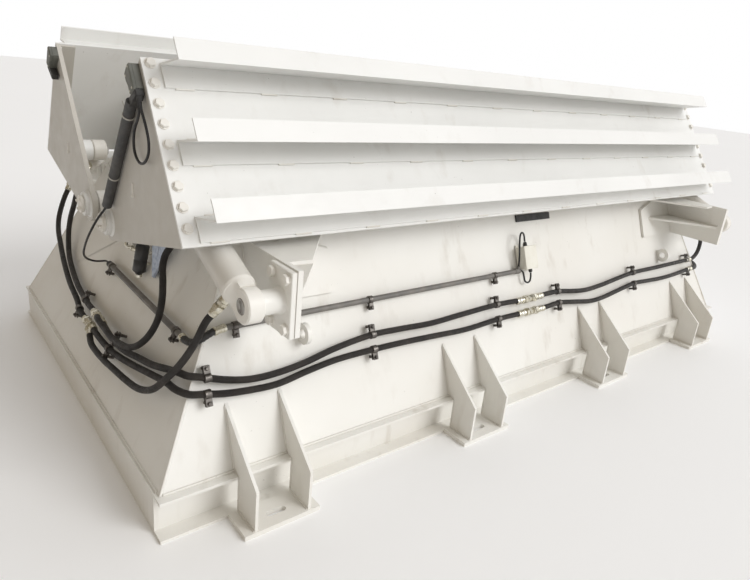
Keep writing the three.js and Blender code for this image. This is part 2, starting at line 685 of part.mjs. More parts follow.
// Free hoses.  Each runs from a fitting on the fixed pipework to a port on a cylinder.
const freeHoses = {
  hose_cap_right_near: [
    [-1675.3, -80.3, 291.8], [-1679, -97, 287], [-1684, -130, 280], [-1684, -200, 277],
    [-1680, -290, 280], [-1674, -382, 288], [-1668, -486, 299], [-1662, -586, 318], [-1655, -655, 345],
    [-1650, -710, 380], [-1638, -755, 425], [-1613, -792, 478], [-1585, -806, 525], [-1560, -810, 570],
    [-1545, -811, 602], [-1534.5, -814.5, 622], [-1525.1, -820.7, 637.1],
  ],
  hose_rod_right_near: [
    [-1654.4, -113.1, 374.6], [-1659, -130, 380], [-1663, -160, 384], [-1660, -230, 377],
    [-1658, -300, 373], [-1653, -380, 382], [-1646, -450, 398], [-1630, -505, 428], [-1606, -535, 470],
    [-1583, -545, 520], [-1568, -545, 580], [-1558, -530, 640], [-1553, -517, 690], [-1543, -515, 725],
    [-1532.1, -520.1, 746.8], [-1525.1, -524.7, 758],
  ],
  hose_cap_left_near: [
    [-1661, 32.6, 312], [-1661, 60, 311], [-1660, 110, 313], [-1651, 195, 329], [-1641, 351, 349],
    [-1622, 532, 389], [-1604, 660, 425], [-1592, 745, 465], [-1578, 790, 510], [-1560, 808, 560],
    [-1545, 811, 600], [-1534.5, 814.5, 622], [-1525.1, 820.7, 637.1],
  ],
  hose_rod_left_near: [
    [-1638, -7.7, 354], [-1638, 20, 354], [-1638, 71, 352], [-1633, 180, 355], [-1627, 285, 363],
    [-1616, 400, 382], [-1604, 500, 408], [-1590, 570, 445], [-1578, 604, 500], [-1568, 601, 560],
    [-1559, 565, 625], [-1558, 542, 653], [-1552, 521, 695], [-1543, 517, 725], [-1532.1, 520.1, 746.8],
    [-1525.1, 524.7, 758],
  ],
  hose_cap_right_far: [
    [1497.8, -811, 443], [1513.8, -811, 443], [1543, -811, 450], [1572, -811, 471], [1590, -809, 502],
    [1593, -807, 537], [1582, -805, 569], [1559, -805, 598], [1532.1, -816.1, 625.9],
    [1525.1, -820.7, 637.1],
  ],
  hose_rod_right_far: [
    [1497.8, -832, 391], [1525, -832, 390], [1565, -825, 390], [1605, -802, 394], [1633, -763, 401],
    [1645, -705, 411], [1650, -640, 427], [1645, -580, 455], [1628, -535, 500], [1603, -515, 555],
    [1580, -508, 615], [1560, -510, 670], [1543, -514, 722], [1532.1, -520.1, 746.8],
    [1525.1, -524.7, 758],
  ],
};

const cables = {
  sensor_cable: [
    [-1618, -176.5, 807.7], [-1618.4, -173.5, 803.9], [-1625, -166, 790], [-1638, -156, 768],
    [-1650, -138, 738], [-1656, -108, 705], [-1658, -66, 668], [-1655, 0, 614], [-1646, 62, 568],
    [-1628, 118, 532], [-1606, 150, 509], [-1583, 157, 498], [-1563, 146, 499], [-1553, 122, 506],
    [-1551, 98, 508], [-1551, 84.3, 508],
  ],
  sensor_loop: [
    [-1615.3, -532.5, 1191.4], [-1615.3, -532.3, 1184], [-1615.3, -528, 1160], [-1615.3, -515, 1139],
    [-1615.3, -495, 1119], [-1615.3, -479, 1096], [-1615.3, -472, 1070], [-1615.3, -476, 1045],
    [-1615.3, -493, 1026], [-1615.3, -520, 1016], [-1615.3, -552, 1020], [-1615.3, -581, 1037],
    [-1615.3, -599, 1060], [-1615.3, -601, 1088], [-1615.3, -588, 1117], [-1615.3, -568, 1144],
    [-1615.3, -549, 1166], [-1615.3, -541.8, 1184], [-1615.3, -541.5, 1191.4],
  ],
  box_loop_cable: [
    [-10, -720.3, 675.4], [-10, -716.5, 685], [-13, -714, 700], [-24, -714, 714], [-42, -718, 719],
    [-59, -727, 709], [-68, -737, 685], [-70, -746, 650], [-70, -752, 620], [-70, -755.5, 595],
    [-70, -756.2, 579.3],
  ],
  box_tail_cable: [
    [-57.2, -756.2, 557], [-46, -757, 556], [-35.7, -761.3, 546.7], [-33.8, -767.4, 532.1],
    [-29.8, -776, 509.9], [-16, -780.4, 502.9], [-2.8, -780.7, 508.1], [4.5, -776.5, 525],
    [5, -772.2, 543.9],
  ],
};

// ---------------------------------------------------------------- assembly

const gate = new THREE.Group();

for (const [side, sy] of sides) {
  add(gate, `side_rail_${side}`, mirrored(sideRail(), 1, sy), 'cream');
  add(gate, `side_wall_${side}`, mirrored(sideWall(), 1, sy), 'cream');
}
for (const [end, sx] of ends) {
  add(gate, `end_rail_${end}`, mirrored(endRail(), sx, 1), 'cream');
  add(gate, `end_wall_${end}`, mirrored(endWall(), sx, 1), 'cream');
}

const footShape = foot();
for (const [side, sy] of sides) {
  FOOT.stations.forEach((x, i) => {
    const mesh = add(gate, `foot_${side}_${i + 1}`, mirrored(footShape, 1, sy), 'cream');
    mesh.position.set(x, sy * RAIL.halfWidth, 0);
  });
}

const bracketShape = bracket();
const flangeShape = pinFlange();
const barrelShape = barrel();
const rodShape = pistonRod();
for (const [side, sy] of sides) {
  for (const [end, sx] of ends) {
    add(gate, `cylinder_bracket_${side}_${end}`, mirrored(bracketShape, sx, sy), 'cream');
    const cylinder = groupAt(sx * CYLINDER.x, sy * CYLINDER.y, CYLINDER.z);
    add(cylinder, `pin_flange_${side}_${end}`, mirrored(flangeShape, sx, sy), 'steel');
    add(cylinder, `cylinder_barrel_${side}_${end}`, mirrored(barrelShape, sx, sy), 'cream');
    add(cylinder, `piston_rod_${side}_${end}`, mirrored(rodShape, sx, sy), 'chrome');
    gate.add(cylinder);
  }
}

const endPlateShape = jawEndPlate();
for (const [side, sy] of sides) {
  const jaw = groupAt(0, sy * PIVOT.y, PIVOT.z);
  add(jaw, `jaw_skin_${side}`, mirrored(jawSkin(), 1, sy), 'cream');
  for (const [end, sx] of ends) {
    add(jaw, `jaw_end_plate_${side}_${end}`, mirrored(endPlateShape, sx, sy), 'cream');
  }
  STIFFENER.outerEdges.forEach((edge, i) => {
    add(jaw, `jaw_stiffener_${side}_${i + 1}`, mirrored(stiffener(edge), 1, sy), 'cream');
  });
  add(jaw, `jaw_sensor_${side}`, mirrored(jawSensor(side === 'right'), 1, sy), 'plastic');
  gate.add(jaw);
}

const upperRoute = [...upperSideRoute, ...upperEndRoute];
const lowerRoute = [...lowerSideRoute, ...lowerEndRoute];
add(gate, 'hydraulic_line_upper', hydraulicLine(upperRoute, levelOf(upperSideRoute), 1, upperTee), 'rubber');
add(gate, 'hydraulic_line_lower', hydraulicLine(lowerRoute, levelOf(lowerSideRoute), -1, lowerTee), 'rubber');
add(gate, 'cable_conduit', conduit(), 'conduit');

const boxMesh = add(gate, 'junction_box', junctionBox(), 'boxGrey');
boxMesh.position.set(BOX.x, BOX.y, BOX.z);
boxMesh.rotation.x = -Math.atan(HOPPER.sideLean);

for (const [name, route] of Object.entries(freeHoses)) {
  add(gate, name, tube(route, HOSE.diameter), 'rubber');
}
for (const [name, route] of Object.entries(cables)) {
  add(gate, name, tube(route, CABLE), 'rubber');
}

export default gate;
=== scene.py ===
"""The looks of a hydraulic twin-jaw discharge gate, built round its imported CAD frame.

Metres, +Z up.  near = -X, far = +X, right = -Y, left = +Y.  Pieces that repeat at the corners are
drawn once, at +X +Y, and mirrored.
"""
import json
import math

import bpy
from mathutils import Matrix, Vector


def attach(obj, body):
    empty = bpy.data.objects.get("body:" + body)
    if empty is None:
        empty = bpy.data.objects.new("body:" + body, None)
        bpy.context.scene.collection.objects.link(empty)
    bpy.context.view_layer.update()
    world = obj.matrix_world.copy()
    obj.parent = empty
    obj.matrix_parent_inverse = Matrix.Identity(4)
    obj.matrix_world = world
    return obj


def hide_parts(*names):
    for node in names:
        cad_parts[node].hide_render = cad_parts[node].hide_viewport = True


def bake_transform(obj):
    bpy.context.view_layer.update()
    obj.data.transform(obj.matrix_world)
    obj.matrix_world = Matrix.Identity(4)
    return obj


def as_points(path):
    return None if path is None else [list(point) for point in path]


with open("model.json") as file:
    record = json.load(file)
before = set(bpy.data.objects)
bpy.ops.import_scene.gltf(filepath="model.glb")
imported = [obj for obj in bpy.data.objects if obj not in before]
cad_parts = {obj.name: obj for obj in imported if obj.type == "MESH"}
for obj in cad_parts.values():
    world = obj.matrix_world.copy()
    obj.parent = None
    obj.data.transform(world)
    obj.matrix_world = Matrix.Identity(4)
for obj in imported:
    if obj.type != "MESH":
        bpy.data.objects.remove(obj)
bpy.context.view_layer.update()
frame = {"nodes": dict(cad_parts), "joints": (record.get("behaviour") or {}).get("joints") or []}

JOINTS = {j["name"]: j for j in frame["joints"]}
ENDS = (("near", -1), ("far", 1))
SIDES = (("right", -1), ("left", 1))

# ---------------- sizes, as in the CAD

PIVOT = Vector(JOINTS["left_jaw_swing"]["pos_m"])
FIXED_PIN = Vector(JOINTS["left_far_barrel_swing"]["pos_m"])
ROD_WAY = Vector(JOINTS["left_far_rod_slide"]["axis"]).normalized()

RAIL_HEIGHT, RAIL_WIDTH, RIM = 0.140, 0.930, 1.190
SIDE_FOOT, SIDE_LEAN = 0.899, 0.394
END_FOOT, END_LEAN = 1.7109, 0.496
FOOT_STATIONS = (-1.384, -0.462, 0.462, 1.384)
JAW_LIP = Vector((0.0, 0.3634, 0.5682))
JAW_TAIL = Vector((0.0, 0.6656, 0.1000))
JAW_LENGTH = 1.600
STIFFENER_EDGES = (0.0726, 0.3047, 0.5295)
LUG_HEIGHT = 0.497
HOSE, CONDUIT, CABLE = 0.022, 0.021, 0.008


def side_y(z, off=0.0):
    """Outside of a side wall at a height, moved out square to the wall."""
    return SIDE_FOOT - SIDE_LEAN * (z - RAIL_HEIGHT) + off * math.hypot(1, SIDE_LEAN)


def end_x(z, off=0.0):
    """Outside of an end wall at a height, moved out square to the wall."""
    return END_FOOT - END_LEAN * (z - RAIL_HEIGHT) + off * math.hypot(1, END_LEAN)


AXIS_X, AXIS_Z = Vector((1, 0, 0)), Vector((0, 0, 1))


def placed(origin, x, y, z):
    """A matrix that puts the origin at a point and turns the axes to x, y and z."""
    return Matrix.Translation(origin) @ Matrix((x, y, z)).transposed().to_4x4()


def shift(x, y, z):
    return Matrix.Translation((x, y, z))


def turn_about(axis, degrees):
    return Matrix.Rotation(math.radians(degrees), 4, axis)


# ---------------- camera

CAMERA_PLACE = Vector((-2.1966, -2.3329, 1.3577))
CAMERA_YAW, CAMERA_PITCH, CAMERA_ROLL = (math.radians(a) for a in (49.39, -19.19, 6.19))
FOCAL_LENGTH = 29.28                  # mm, on a 36 mm sensor
SHIFT = (-0.0112, -0.0169)


def make_camera():
    ahead = Vector((
        math.cos(CAMERA_YAW) * math.cos(CAMERA_PITCH),
        math.sin(CAMERA_YAW) * math.cos(CAMERA_PITCH),
        math.sin(CAMERA_PITCH),
    ))
    level = ahead.cross(AXIS_Z).normalized()
    above = level.cross(ahead)
    right = level * math.cos(CAMERA_ROLL) + above * math.sin(CAMERA_ROLL)
    up = above * math.cos(CAMERA_ROLL) - level * math.sin(CAMERA_ROLL)
    data = bpy.data.cameras.new("camera")
    data.lens, data.sensor_width = FOCAL_LENGTH, 36.0
    data.shift_x, data.shift_y = SHIFT
    data.clip_start, data.clip_end = 0.05, 200.0
    camera = bpy.data.objects.new("camera", data)
    camera.matrix_world = placed(CAMERA_PLACE, right, up, -ahead)
    bpy.context.scene.collection.objects.link(camera)
    bpy.context.scene.camera = camera


make_camera()

# ---------------- materials


def add_node(tree, kind, output, inputs, **settings):
    """A new node.  inputs gives a socket, by its name or number, another node's output or a value."""
    node = tree.nodes.new("ShaderNode" + kind)
    for name, value in settings.items():
        setattr(node, name, value)
    for key, value in inputs.items():
        if isinstance(value, bpy.types.NodeSocket):
            tree.links.new(value, node.inputs[key])
        else:
            node.inputs[key].default_value = value
    return node.outputs[output]


def mix_colours(tree, share, a, b):
    a, b = ((*c, 1.0) if isinstance(c, tuple) else c for c in (a, b))
    return add_node(tree, "Mix", 2, {"Factor": share, 6: a, 7: b}, data_type="RGBA")


class Look:
    """A material's node tree, with short calls for the few kinds of node that it uses."""

    def __init__(self, name, roughness, metallic=0.0, specular=0.5):
        self.material = bpy.data.materials.new(name)
        self.material.use_nodes = True
        self.tree = self.material.node_tree
        self.shader = self.tree.nodes["Principled BSDF"]
        values = {"Roughness": roughness, "Metallic": metallic, "Specular IOR Level": specular}
        for socket, value in values.items():
            self.shader.inputs[socket].default_value = value
        coordinates = self.tree.nodes.new("ShaderNodeTexCoord")
        self.place, self.around = coordinates.outputs["Object"], coordinates.outputs["UV"]
        self.height = None

    def node(self, kind, output, inputs, **settings):
        return add_node(self.tree, kind, output, inputs, **settings)

    def noise(self, scale, detail, stretch=None):
        source = self.place
        if stretch:
            source = self.node("Mapping", "Vector", {"Vector": source, "Scale": stretch})
        return self.node("TexNoise", "Fac", {"Scale": scale, "Detail": detail, "Vector": source})

    def slanted_waves(self, scale):
        inputs = {"Scale": scale, "Vector": self.around}
        return self.node("TexWave", "Fac", inputs, bands_direction="DIAGONAL")

    def cells(self, scale):
        return self.node("TexVoronoi", "Distance", {"Scale": scale, "Vector": self.place})

    def ranged(self, value, low, high, to_low=0.0, to_high=1.0):
        limits = {"From Min": low, "From Max": high, "To Min": to_low, "To Max": to_high}
        return self.node("MapRange", "Result", {"Value": value, **limits})

    def patchy(self, scale, detail, low, high):
        """A value that wanders between low and high, for roughness."""
        return self.ranged(self.noise(scale, detail), 0.3, 0.7, low, high)

    def times(self, a, b):
        return self.node("Math", 0, {0: a, 1: b}, operation="MULTIPLY")

    def mixed(self, share, a, b):
        return mix_colours(self.tree, share, a, b)

    def bump(self, value, distance):
        below = {"Normal": self.height} if self.height else {}
        self.height = self.node("Bump", "Normal", {"Distance": distance, "Height": value, **below})

    def done(self, colour, roughness=None):
        """Links what was made to the shader, and gives the material."""
        for socket, source in (("Base Color", colour), ("Roughness", roughness), ("Normal", self.height)):
            if source:
                self.tree.links.new(source, self.shader.inputs[socket])
        return self.material


DIRT, BARE_STEEL = (0.44, 0.38, 0.30), (0.22, 0.20, 0.18)


def paint(name, colour, shade, grime, waviness=0.0012):
    """Sprayed white paint: broad unevenness, faint runs of dirt, a few chips and orange peel."""
    look = Look(name, 0.4, specular=0.45)
    broad = look.ranged(look.noise(1.7, 3), 0.35, 0.65)
    base = look.mixed(broad, colour, shade)
    runs = look.ranged(look.noise(16, 5, stretch=(1, 1, 0.16)), 0.56, 0.8, 0.0, grime)
    patch = look.ranged(look.noise(3.1, 4), 0.42, 0.62)
    dusty = look.mixed(look.times(runs, patch), base, DIRT)
    chips = look.ranged(look.noise(120, 3), 0.745, 0.765)
    worn = look.mixed(look.times(chips, patch), dusty, BARE_STEEL)
    look.bump(look.noise(5.0, 2), waviness)
    look.bump(look.noise(420, 2), 0.00012)
    return look.done(worn, look.patchy(24, 4, 0.33, 0.5))


def bare_metal(name, colour, shade, roughness, scale):
    """Plated or turned steel with soft blotches and fine tooling marks."""
    look = Look(name, roughness, 1.0)
    base = look.mixed(look.ranged(look.noise(scale, 4), 0.35, 0.65), colour, shade)
    look.bump(look.noise(900, 2), 0.00004)
    return look.done(base, look.patchy(scale * 3, 3, roughness * 0.75, roughness * 1.4))


def rubber(name, colour, dust, wrap, roughness=0.5):
    """Hose cover or cable jacket: a cloth-wrap print at a slant round the tube, and a little dust."""
    look = Look(name, roughness, specular=0.4)
    base = look.mixed(look.ranged(look.noise(14, 4), 0.45, 0.75, 0.0, 0.55), colour, dust)
    look.bump(look.slanted_waves(wrap), 0.00035)
    look.bump(look.noise(600, 2), 0.0001)
    return look.done(base, look.patchy(40, 3, roughness * 0.8, roughness * 1.25))


def plastic(name, colour, shade, roughness, grain):
    """Moulded plastic or rubber with a fine grain."""
    look = Look(name, roughness)
    base = look.mixed(look.ranged(look.noise(20, 4), 0.4, 0.7), colour, shade)
    look.bump(look.cells(grain), 0.00012)
    return look.done(base, look.patchy(60, 2, roughness * 0.85, roughness * 1.2))


base_paint = paint("base_paint", (0.83, 0.82, 0.78), (0.78, 0.755, 0.70), 0.65)
hopper_paint = paint("hopper_paint", (0.84, 0.83, 0.79), (0.80, 0.78, 0.73), 0.45, 0.0025)
jaw_paint = paint("jaw_paint", (0.84, 0.84, 0.82), (0.80, 0.80, 0.78), 0.25, 0.0018)
# The jaws' white paint made darker for the end plates: painted shade on the end plates.
end_plate_painted_shade = paint("end_plate_painted_shade", (0.55, 0.525, 0.475), (0.51, 0.485, 0.435), 0.3, 0.0018)
cylinder_paint = paint("cylinder_paint", (0.82, 0.80, 0.75), (0.78, 0.75, 0.69), 0.3, 0.0)
weld_paint = paint("weld_paint", (0.80, 0.785, 0.74), (0.74, 0.71, 0.65), 0.8, 0.0)
zinc = bare_metal("zinc_plate", (0.72, 0.70, 0.62), (0.58, 0.54, 0.42), 0.28, 45)
dull_steel = bare_metal("dull_steel", (0.42, 0.41, 0.39), (0.28, 0.26, 0.24), 0.42, 30)
chrome = bare_metal("hard_chrome", (0.80, 0.81, 0.82), (0.74, 0.75, 0.76), 0.1, 12)
# Bluish grey metal for the folded sheet on the near end wall: painted shade with a painted sky reflection.
sheet_metal_painted_shade = bare_metal("folded_sheet_painted_shade", (0.40, 0.43, 0.48), (0.27, 0.30, 0.36), 0.38, 60)
hose_rubber = rubber("hose_rubber", (0.020, 0.017, 0.015), (0.060, 0.050, 0.042), 40)
cable_rubber = rubber("cable_rubber", (0.016, 0.016, 0.017), (0.04, 0.038, 0.036), 6, 0.45)
conduit_plastic = plastic("conduit_plastic", (0.135, 0.128, 0.118), (0.20, 0.185, 0.165), 0.5, 400)
sensor_plastic = plastic("sensor_plastic", (0.105, 0.108, 0.092), (0.145, 0.145, 0.125), 0.45, 700)
switch_plastic = plastic("switch_plastic", (0.022, 0.022, 0.023), (0.05, 0.048, 0.046), 0.38, 700)
box_plastic = plastic("box_plastic", (0.80, 0.78, 0.70), (0.74, 0.71, 0.62), 0.4, 700)
black_seal = plastic("black_seal", (0.02, 0.02, 0.02), (0.05, 0.048, 0.045), 0.55, 500)

# ---------------- mesh building


class Shape:
    """The vertices, faces and face-corner UVs of one piece."""

    def __init__(self):
        self.verts, self.faces, self.uvs = [], [], []

    def add(self, verts, faces, uvs=None, at=None):
        start = len(self.verts)
        self.verts += [at @ Vector(v) if at else Vector(v) for v in verts]
        self.faces += [[start + i for i in face] for face in faces]
        self.uvs += uvs or [[(0.0, 0.0)] * len(face) for face in faces]
        return self

    def join(self, *others):
        for other in others:
            self.add(other.verts, other.faces, other.uvs)
        return self

    def mirrored(self, sx, sy):
        copy = Shape()
        flip = sx * sy < 0
        copy.verts = [Vector((v.x * sx, v.y * sy, v.z)) for v in self.verts]
        copy.faces = [face[::-1] if flip else list(face) for face in self.faces]
        copy.uvs = [uv[::-1] if flip else list(uv) for uv in self.uvs]
        return copy


def towards(start, end, across=AXIS_Z):
    """A matrix that puts the origin at start and its Z axis on the way to end."""
    z = (Vector(end) - Vector(start)).normalized()
    x = Vector(across).cross(z)
    if x.length < 1e-4:
        x = AXIS_X.cross(z)
    x.normalize()
    return placed(Vector(start), x, z.cross(x), z)


def rings(sections, uvs=None):
    """Faces between rings of points of equal count, closed at both ends."""
    count = len(sections[0])
    verts = [p for ring in sections for p in ring]
    faces, corners = [], []
    for k in range(len(sections) - 1):
        for i in range(count):
            j = (i + 1) % count
            a, b = k * count, (k + 1) * count
            faces.append([a + i, a + j, b + j, b + i])
            v0, v1 = (uvs[k], uvs[k + 1]) if uvs else (0.0, 0.0)
            u0, u1 = i / count, (i + 1) / count
            corners.append([(u0, v0), (u1, v0), (u1, v1), (u0, v1)])
    last = (len(sections) - 1) * count
    faces += [list(range(count))[::-1], [last + i for i in range(count)]]
    corners += [[(0.0, 0.0)] * count] * 2
    return verts, faces, corners


def turned(profile, at, segments=40):
    """A turned solid: (radius, height) points, from the axis and back to it, or a closed loop."""
    hollow = profile[0][0] > 0
    verts = [(x, y, h) for r, h in profile for x, y in circle(r, segments)]
    faces = []
    rows = len(profile)
    for k in range(rows if hollow else rows - 1):
        a, b = k * segments, (k + 1) % rows * segments
        for i in range(segments):
            j = (i + 1) % segments
            if profile[k][0] == 0:
                faces.append([a, b + j, b + i])
            elif profile[(k + 1) % rows][0] == 0:
                faces.append([a + i, a + j, b])
            else:
                faces.append([a + i, a + j, b + j, b + i])
    return Shape().add(verts, faces, at=at)


def mm(*points):
    """Points given in millimetres, in metres."""
    return [tuple(n / 1000 for n in point) for point in points]


def disc_profile(radius, low, high, chamfer):
    return [(0, low), (radius - chamfer, low), (radius, low + chamfer),
            (radius, high - chamfer), (radius - chamfer, high), (0, high)]


def prism(points, low, high, at, chamfer=0.0):
    """A flat outline between two heights, with its top edge chamfered."""
    centre = sum((Vector(p) for p in points), Vector((0, 0))) / len(points)
    sections = [[(x, y, low) for x, y in points], [(x, y, high - chamfer) for x, y in points]]
    if chamfer:
        inner = [Vector(p) + (centre - Vector(p)).normalized() * chamfer for p in points]
        sections.append([(p.x, p.y, high) for p in inner])
    return Shape().add(*rings(sections), at=at)


def block(low, high, chamfer, at=None):
    """A box with every edge chamfered."""
    low, high = Vector(low), Vector(high)
    sections = []
    for z, inset in ((low.z, chamfer), (low.z + chamfer, 0), (high.z - chamfer, 0), (high.z, chamfer)):
        x0, x1, y0, y1 = low.x + inset, high.x - inset, low.y + inset, high.y - inset
        x2, x3, y2, y3 = x0 + chamfer, x1 - chamfer, y0 + chamfer, y1 - chamfer
        outline = ((x2, y0), (x3, y0), (x1, y2), (x1, y3), (x3, y1), (x2, y1), (x0, y3), (x0, y2))
        sections.append([(x, y, z) for x, y in outline])
    return Shape().add(*rings(sections), at=at)


def circle(radius, count, turn=0.0):
    angles = (turn + 2 * math.pi * i / count for i in range(count))
    return [(radius * math.cos(a), radius * math.sin(a)) for a in angles]


def hexagon(radius, low, high, at, chamfer, turn=0.0):
    return prism(circle(radius, 6, turn), low, high, at, chamfer)


def disc(radius, low, high, at, chamfer, segments):
    return turned(disc_profile(radius, low, high, chamfer), at, segments)


WASHER = 0.0025                       # thickness under a bolt head


def bolt(at, across_flats, height, washer):
    """A hexagon head on a washer, along +Z of the matrix at."""
    radius = across_flats / math.sqrt(3)
    head = hexagon(radius, WASHER, height + WASHER, at, 0.0014, 0.3)
    return head.join(disc(washer, 0.0, WASHER, at, 0.0006, 24))


STEPS = 12                            # points drawn between two knots of a path


def smooth_path(points, spacing):
    """Points at an even spacing on the centripetal Catmull-Rom curve that the CAD tubes follow."""
    knots = [Vector(p) for p in points]
    knots = [2 * knots[0] - knots[1], *knots, 2 * knots[-1] - knots[-2]]
    fine = []
    for p0, p1, p2, p3 in zip(knots, knots[1:], knots[2:], knots[3:]):
        d0, d1, d2 = (math.sqrt((b - a).length) for a, b in ((p0, p1), (p1, p2), (p2, p3)))
        t1 = ((p1 - p0) / d0 - (p2 - p0) / (d0 + d1) + (p2 - p1) / d1) * d1
        t2 = ((p2 - p1) / d1 - (p3 - p1) / (d1 + d2) + (p3 - p2) / d2) * d1
        for k in range(STEPS):
            t = k / STEPS
            fine.append((2 * t**3 - 3 * t**2 + 1) * p1 + (t**3 - 2 * t**2 + t) * t1
                        + (3 * t**2 - 2 * t**3) * p2 + (t**3 - t**2) * t2)
    fine.append(knots[-2])
    lengths = [0.0]
    for a, b in zip(fine, fine[1:]):
        lengths.append(lengths[-1] + (b - a).length)
    count = max(2, round(lengths[-1] / spacing))
    even, k = [], 0
    for i in range(count + 1):
        goal = lengths[-1] * i / count
        while k < len(fine) - 2 and lengths[k + 1] < goal:
            k += 1
        share = (goal - lengths[k]) / max(lengths[k + 1] - lengths[k], 1e-9)
        even.append(fine[k].lerp(fine[k + 1], share))
    return even, lengths[-1]


def pipe(path, radius, sides=16):
    """A tube along a path.  radius is a number, or a function of the distance along the path."""
    sections, marks, distance = [], [], 0.0
    ahead = (path[1] - path[0]).normalized()
    x = ahead.orthogonal().normalized()
    for i, p in enumerate(path):
        if i:
            distance += (p - path[i - 1]).length
        ahead = (path[min(i + 1, len(path) - 1)] - path[max(i - 1, 0)]).normalized()
        x = (x - ahead * x.dot(ahead)).normalized()
        y = ahead.cross(x)
        r = radius(distance) if callable(radius) else radius
        sections.append([p + x * a + y * b for a, b in circle(r, sides)])
        marks.append(distance / (math.pi * HOSE))
    return Shape().add(*rings(sections, marks))


def straight(start, end, spacing=0.003):
    start, end = Vector(start), Vector(end)
    count = max(2, round((end - start).length / spacing))
    return [start.lerp(end, i / count) for i in range(count + 1)]


def bead(start, end, radius):
    """A weld bead with its ripples, along a straight seam."""
    ripple = 2 * math.pi / 0.0075
    return pipe(straight(start, end, 0.0035), lambda s: radius * (1 + 0.13 * math.sin(s * ripple)), 6)


def piece(name, shape, material, body, slot=None, sharp=35.0):
    """Makes the Blender object of a shape.  body may be None, which leaves the object attached to no body.
    """
    mesh = bpy.data.meshes.new(name)
    mesh.from_pydata(shape.verts, [], shape.faces)
    layer = mesh.uv_layers.new(name="UVMap")
    layer.data.foreach_set("uv", [n for face in shape.uvs for uv in face for n in uv])
    mesh.materials.append(material)
    mesh.polygons.foreach_set("use_smooth", [True] * len(mesh.polygons))
    mesh.set_sharp_from_angle(angle=math.radians(sharp))
    mesh.validate()
    thing = bpy.data.objects.new(name, mesh)
    bpy.context.scene.collection.objects.link(thing)
    if body:
        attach(thing, body)
    return thing


# ---------------- cords: free hoses and cables

# Points that each cord passes, in mm.
HOSES = {
    "hose_cap_right_near": [
        (-1675.3, -80.3, 291.8), (-1679, -97, 287), (-1684, -130, 280), (-1684, -200, 277),
        (-1680, -290, 280), (-1674, -382, 288), (-1668, -486, 299), (-1662, -586, 318),
        (-1655, -655, 345), (-1650, -710, 380), (-1638, -755, 425), (-1613, -792, 478),
        (-1585, -806, 525), (-1560, -810, 570), (-1545, -811, 602), (-1534.5, -814.5, 622),
        (-1525.1, -820.7, 637.1),
    ],
    "hose_rod_right_near": [
        (-1654.4, -113.1, 374.6), (-1659, -130, 380), (-1663, -160, 384), (-1660, -230, 377),
        (-1658, -300, 373), (-1653, -380, 382), (-1646, -450, 398), (-1630, -505, 428),
        (-1606, -535, 470), (-1583, -545, 520), (-1568, -545, 580), (-1558, -530, 640),
        (-1553, -517, 690), (-1543, -515, 725), (-1532.1, -520.1, 746.8), (-1525.1, -524.7, 758),
    ],
    "hose_cap_left_near": [
        (-1661, 32.6, 312), (-1661, 60, 311), (-1660, 110, 313), (-1651, 195, 329), (-1641, 351, 349),
        (-1622, 532, 389), (-1604, 660, 425), (-1592, 745, 465), (-1578, 790, 510), (-1560, 808, 560),
        (-1545, 811, 600), (-1534.5, 814.5, 622), (-1525.1, 820.7, 637.1),
    ],
    "hose_rod_left_near": [
        (-1638, -7.7, 354), (-1638, 20, 354), (-1638, 71, 352), (-1633, 180, 355), (-1627, 285, 363),
        (-1616, 400, 382), (-1604, 500, 408), (-1590, 570, 445), (-1578, 604, 500), (-1568, 601, 560),
        (-1559, 565, 625), (-1558, 542, 653), (-1552, 521, 695), (-1543, 517, 725),
        (-1532.1, 520.1, 746.8), (-1525.1, 524.7, 758),
    ],
    "hose_cap_right_far": [
        (1497.8, -811, 443), (1513.8, -811, 443), (1543, -811, 450), (1572, -811, 471),
        (1590, -809, 502), (1593, -807, 537), (1582, -805, 569), (1559, -805, 598),
        (1532.1, -816.1, 625.9), (1525.1, -820.7, 637.1),
    ],
    "hose_rod_right_far": [
        (1497.8, -832, 391), (1525, -832, 390), (1565, -825, 390), (1605, -802, 394), (1633, -763, 401),
        (1645, -705, 411), (1650, -640, 427), (1645, -580, 455), (1628, -535, 500), (1603, -515, 555),
        (1580, -508, 615), (1560, -510, 670), (1543, -514, 722), (1532.1, -520.1, 746.8),
        (1525.1, -524.7, 758),
    ],
}
LOOP_X = -1615.3
CABLES = {
    "sensor_cable": [
        (-1618, -176.5, 807.7), (-1618.4, -173.5, 803.9), (-1625, -166, 790), (-1638, -156, 768),
        (-1650, -138, 738), (-1656, -108, 705), (-1658, -66, 668), (-1655, 0, 614), (-1646, 62, 568),
        (-1628, 118, 532), (-1606, 150, 509), (-1583, 157, 498), (-1563, 146, 499), (-1553, 122, 506),
        (-1551, 98, 508), (-1551, 84.3, 508),
    ],
    "sensor_loop": [(LOOP_X, y, z) for y, z in (
        (-532.5, 1191.4), (-532.3, 1184), (-528, 1160), (-515, 1139), (-495, 1119), (-479, 1096),
        (-472, 1070), (-476, 1045), (-493, 1026), (-520, 1016), (-552, 1020), (-581, 1037), (-599, 1060),
        (-601, 1088), (-588, 1117), (-568, 1144), (-549, 1166), (-541.8, 1184), (-541.5, 1191.4),
    )],
    "box_loop_cable": [
        (-10, -720.3, 675.4), (-10, -716.5, 685), (-13, -714, 700), (-24, -714, 714), (-42, -718, 719),
        (-59, -727, 709), (-68, -737, 685), (-70, -746, 650), (-70, -752, 620), (-70, -755.5, 595),
        (-70, -756.2, 579.3),
    ],
    "box_tail_cable": [
        (-57.2, -756.2, 557), (-46, -757, 556), (-35.7, -761.3, 546.7), (-33.8, -767.4, 532.1),
        (-29.8, -776, 509.9), (-16, -780.4, 502.9), (-2.8, -780.7, 508.1), (4.5, -776.5, 525),
        (5, -772.2, 543.9),
    ],
}


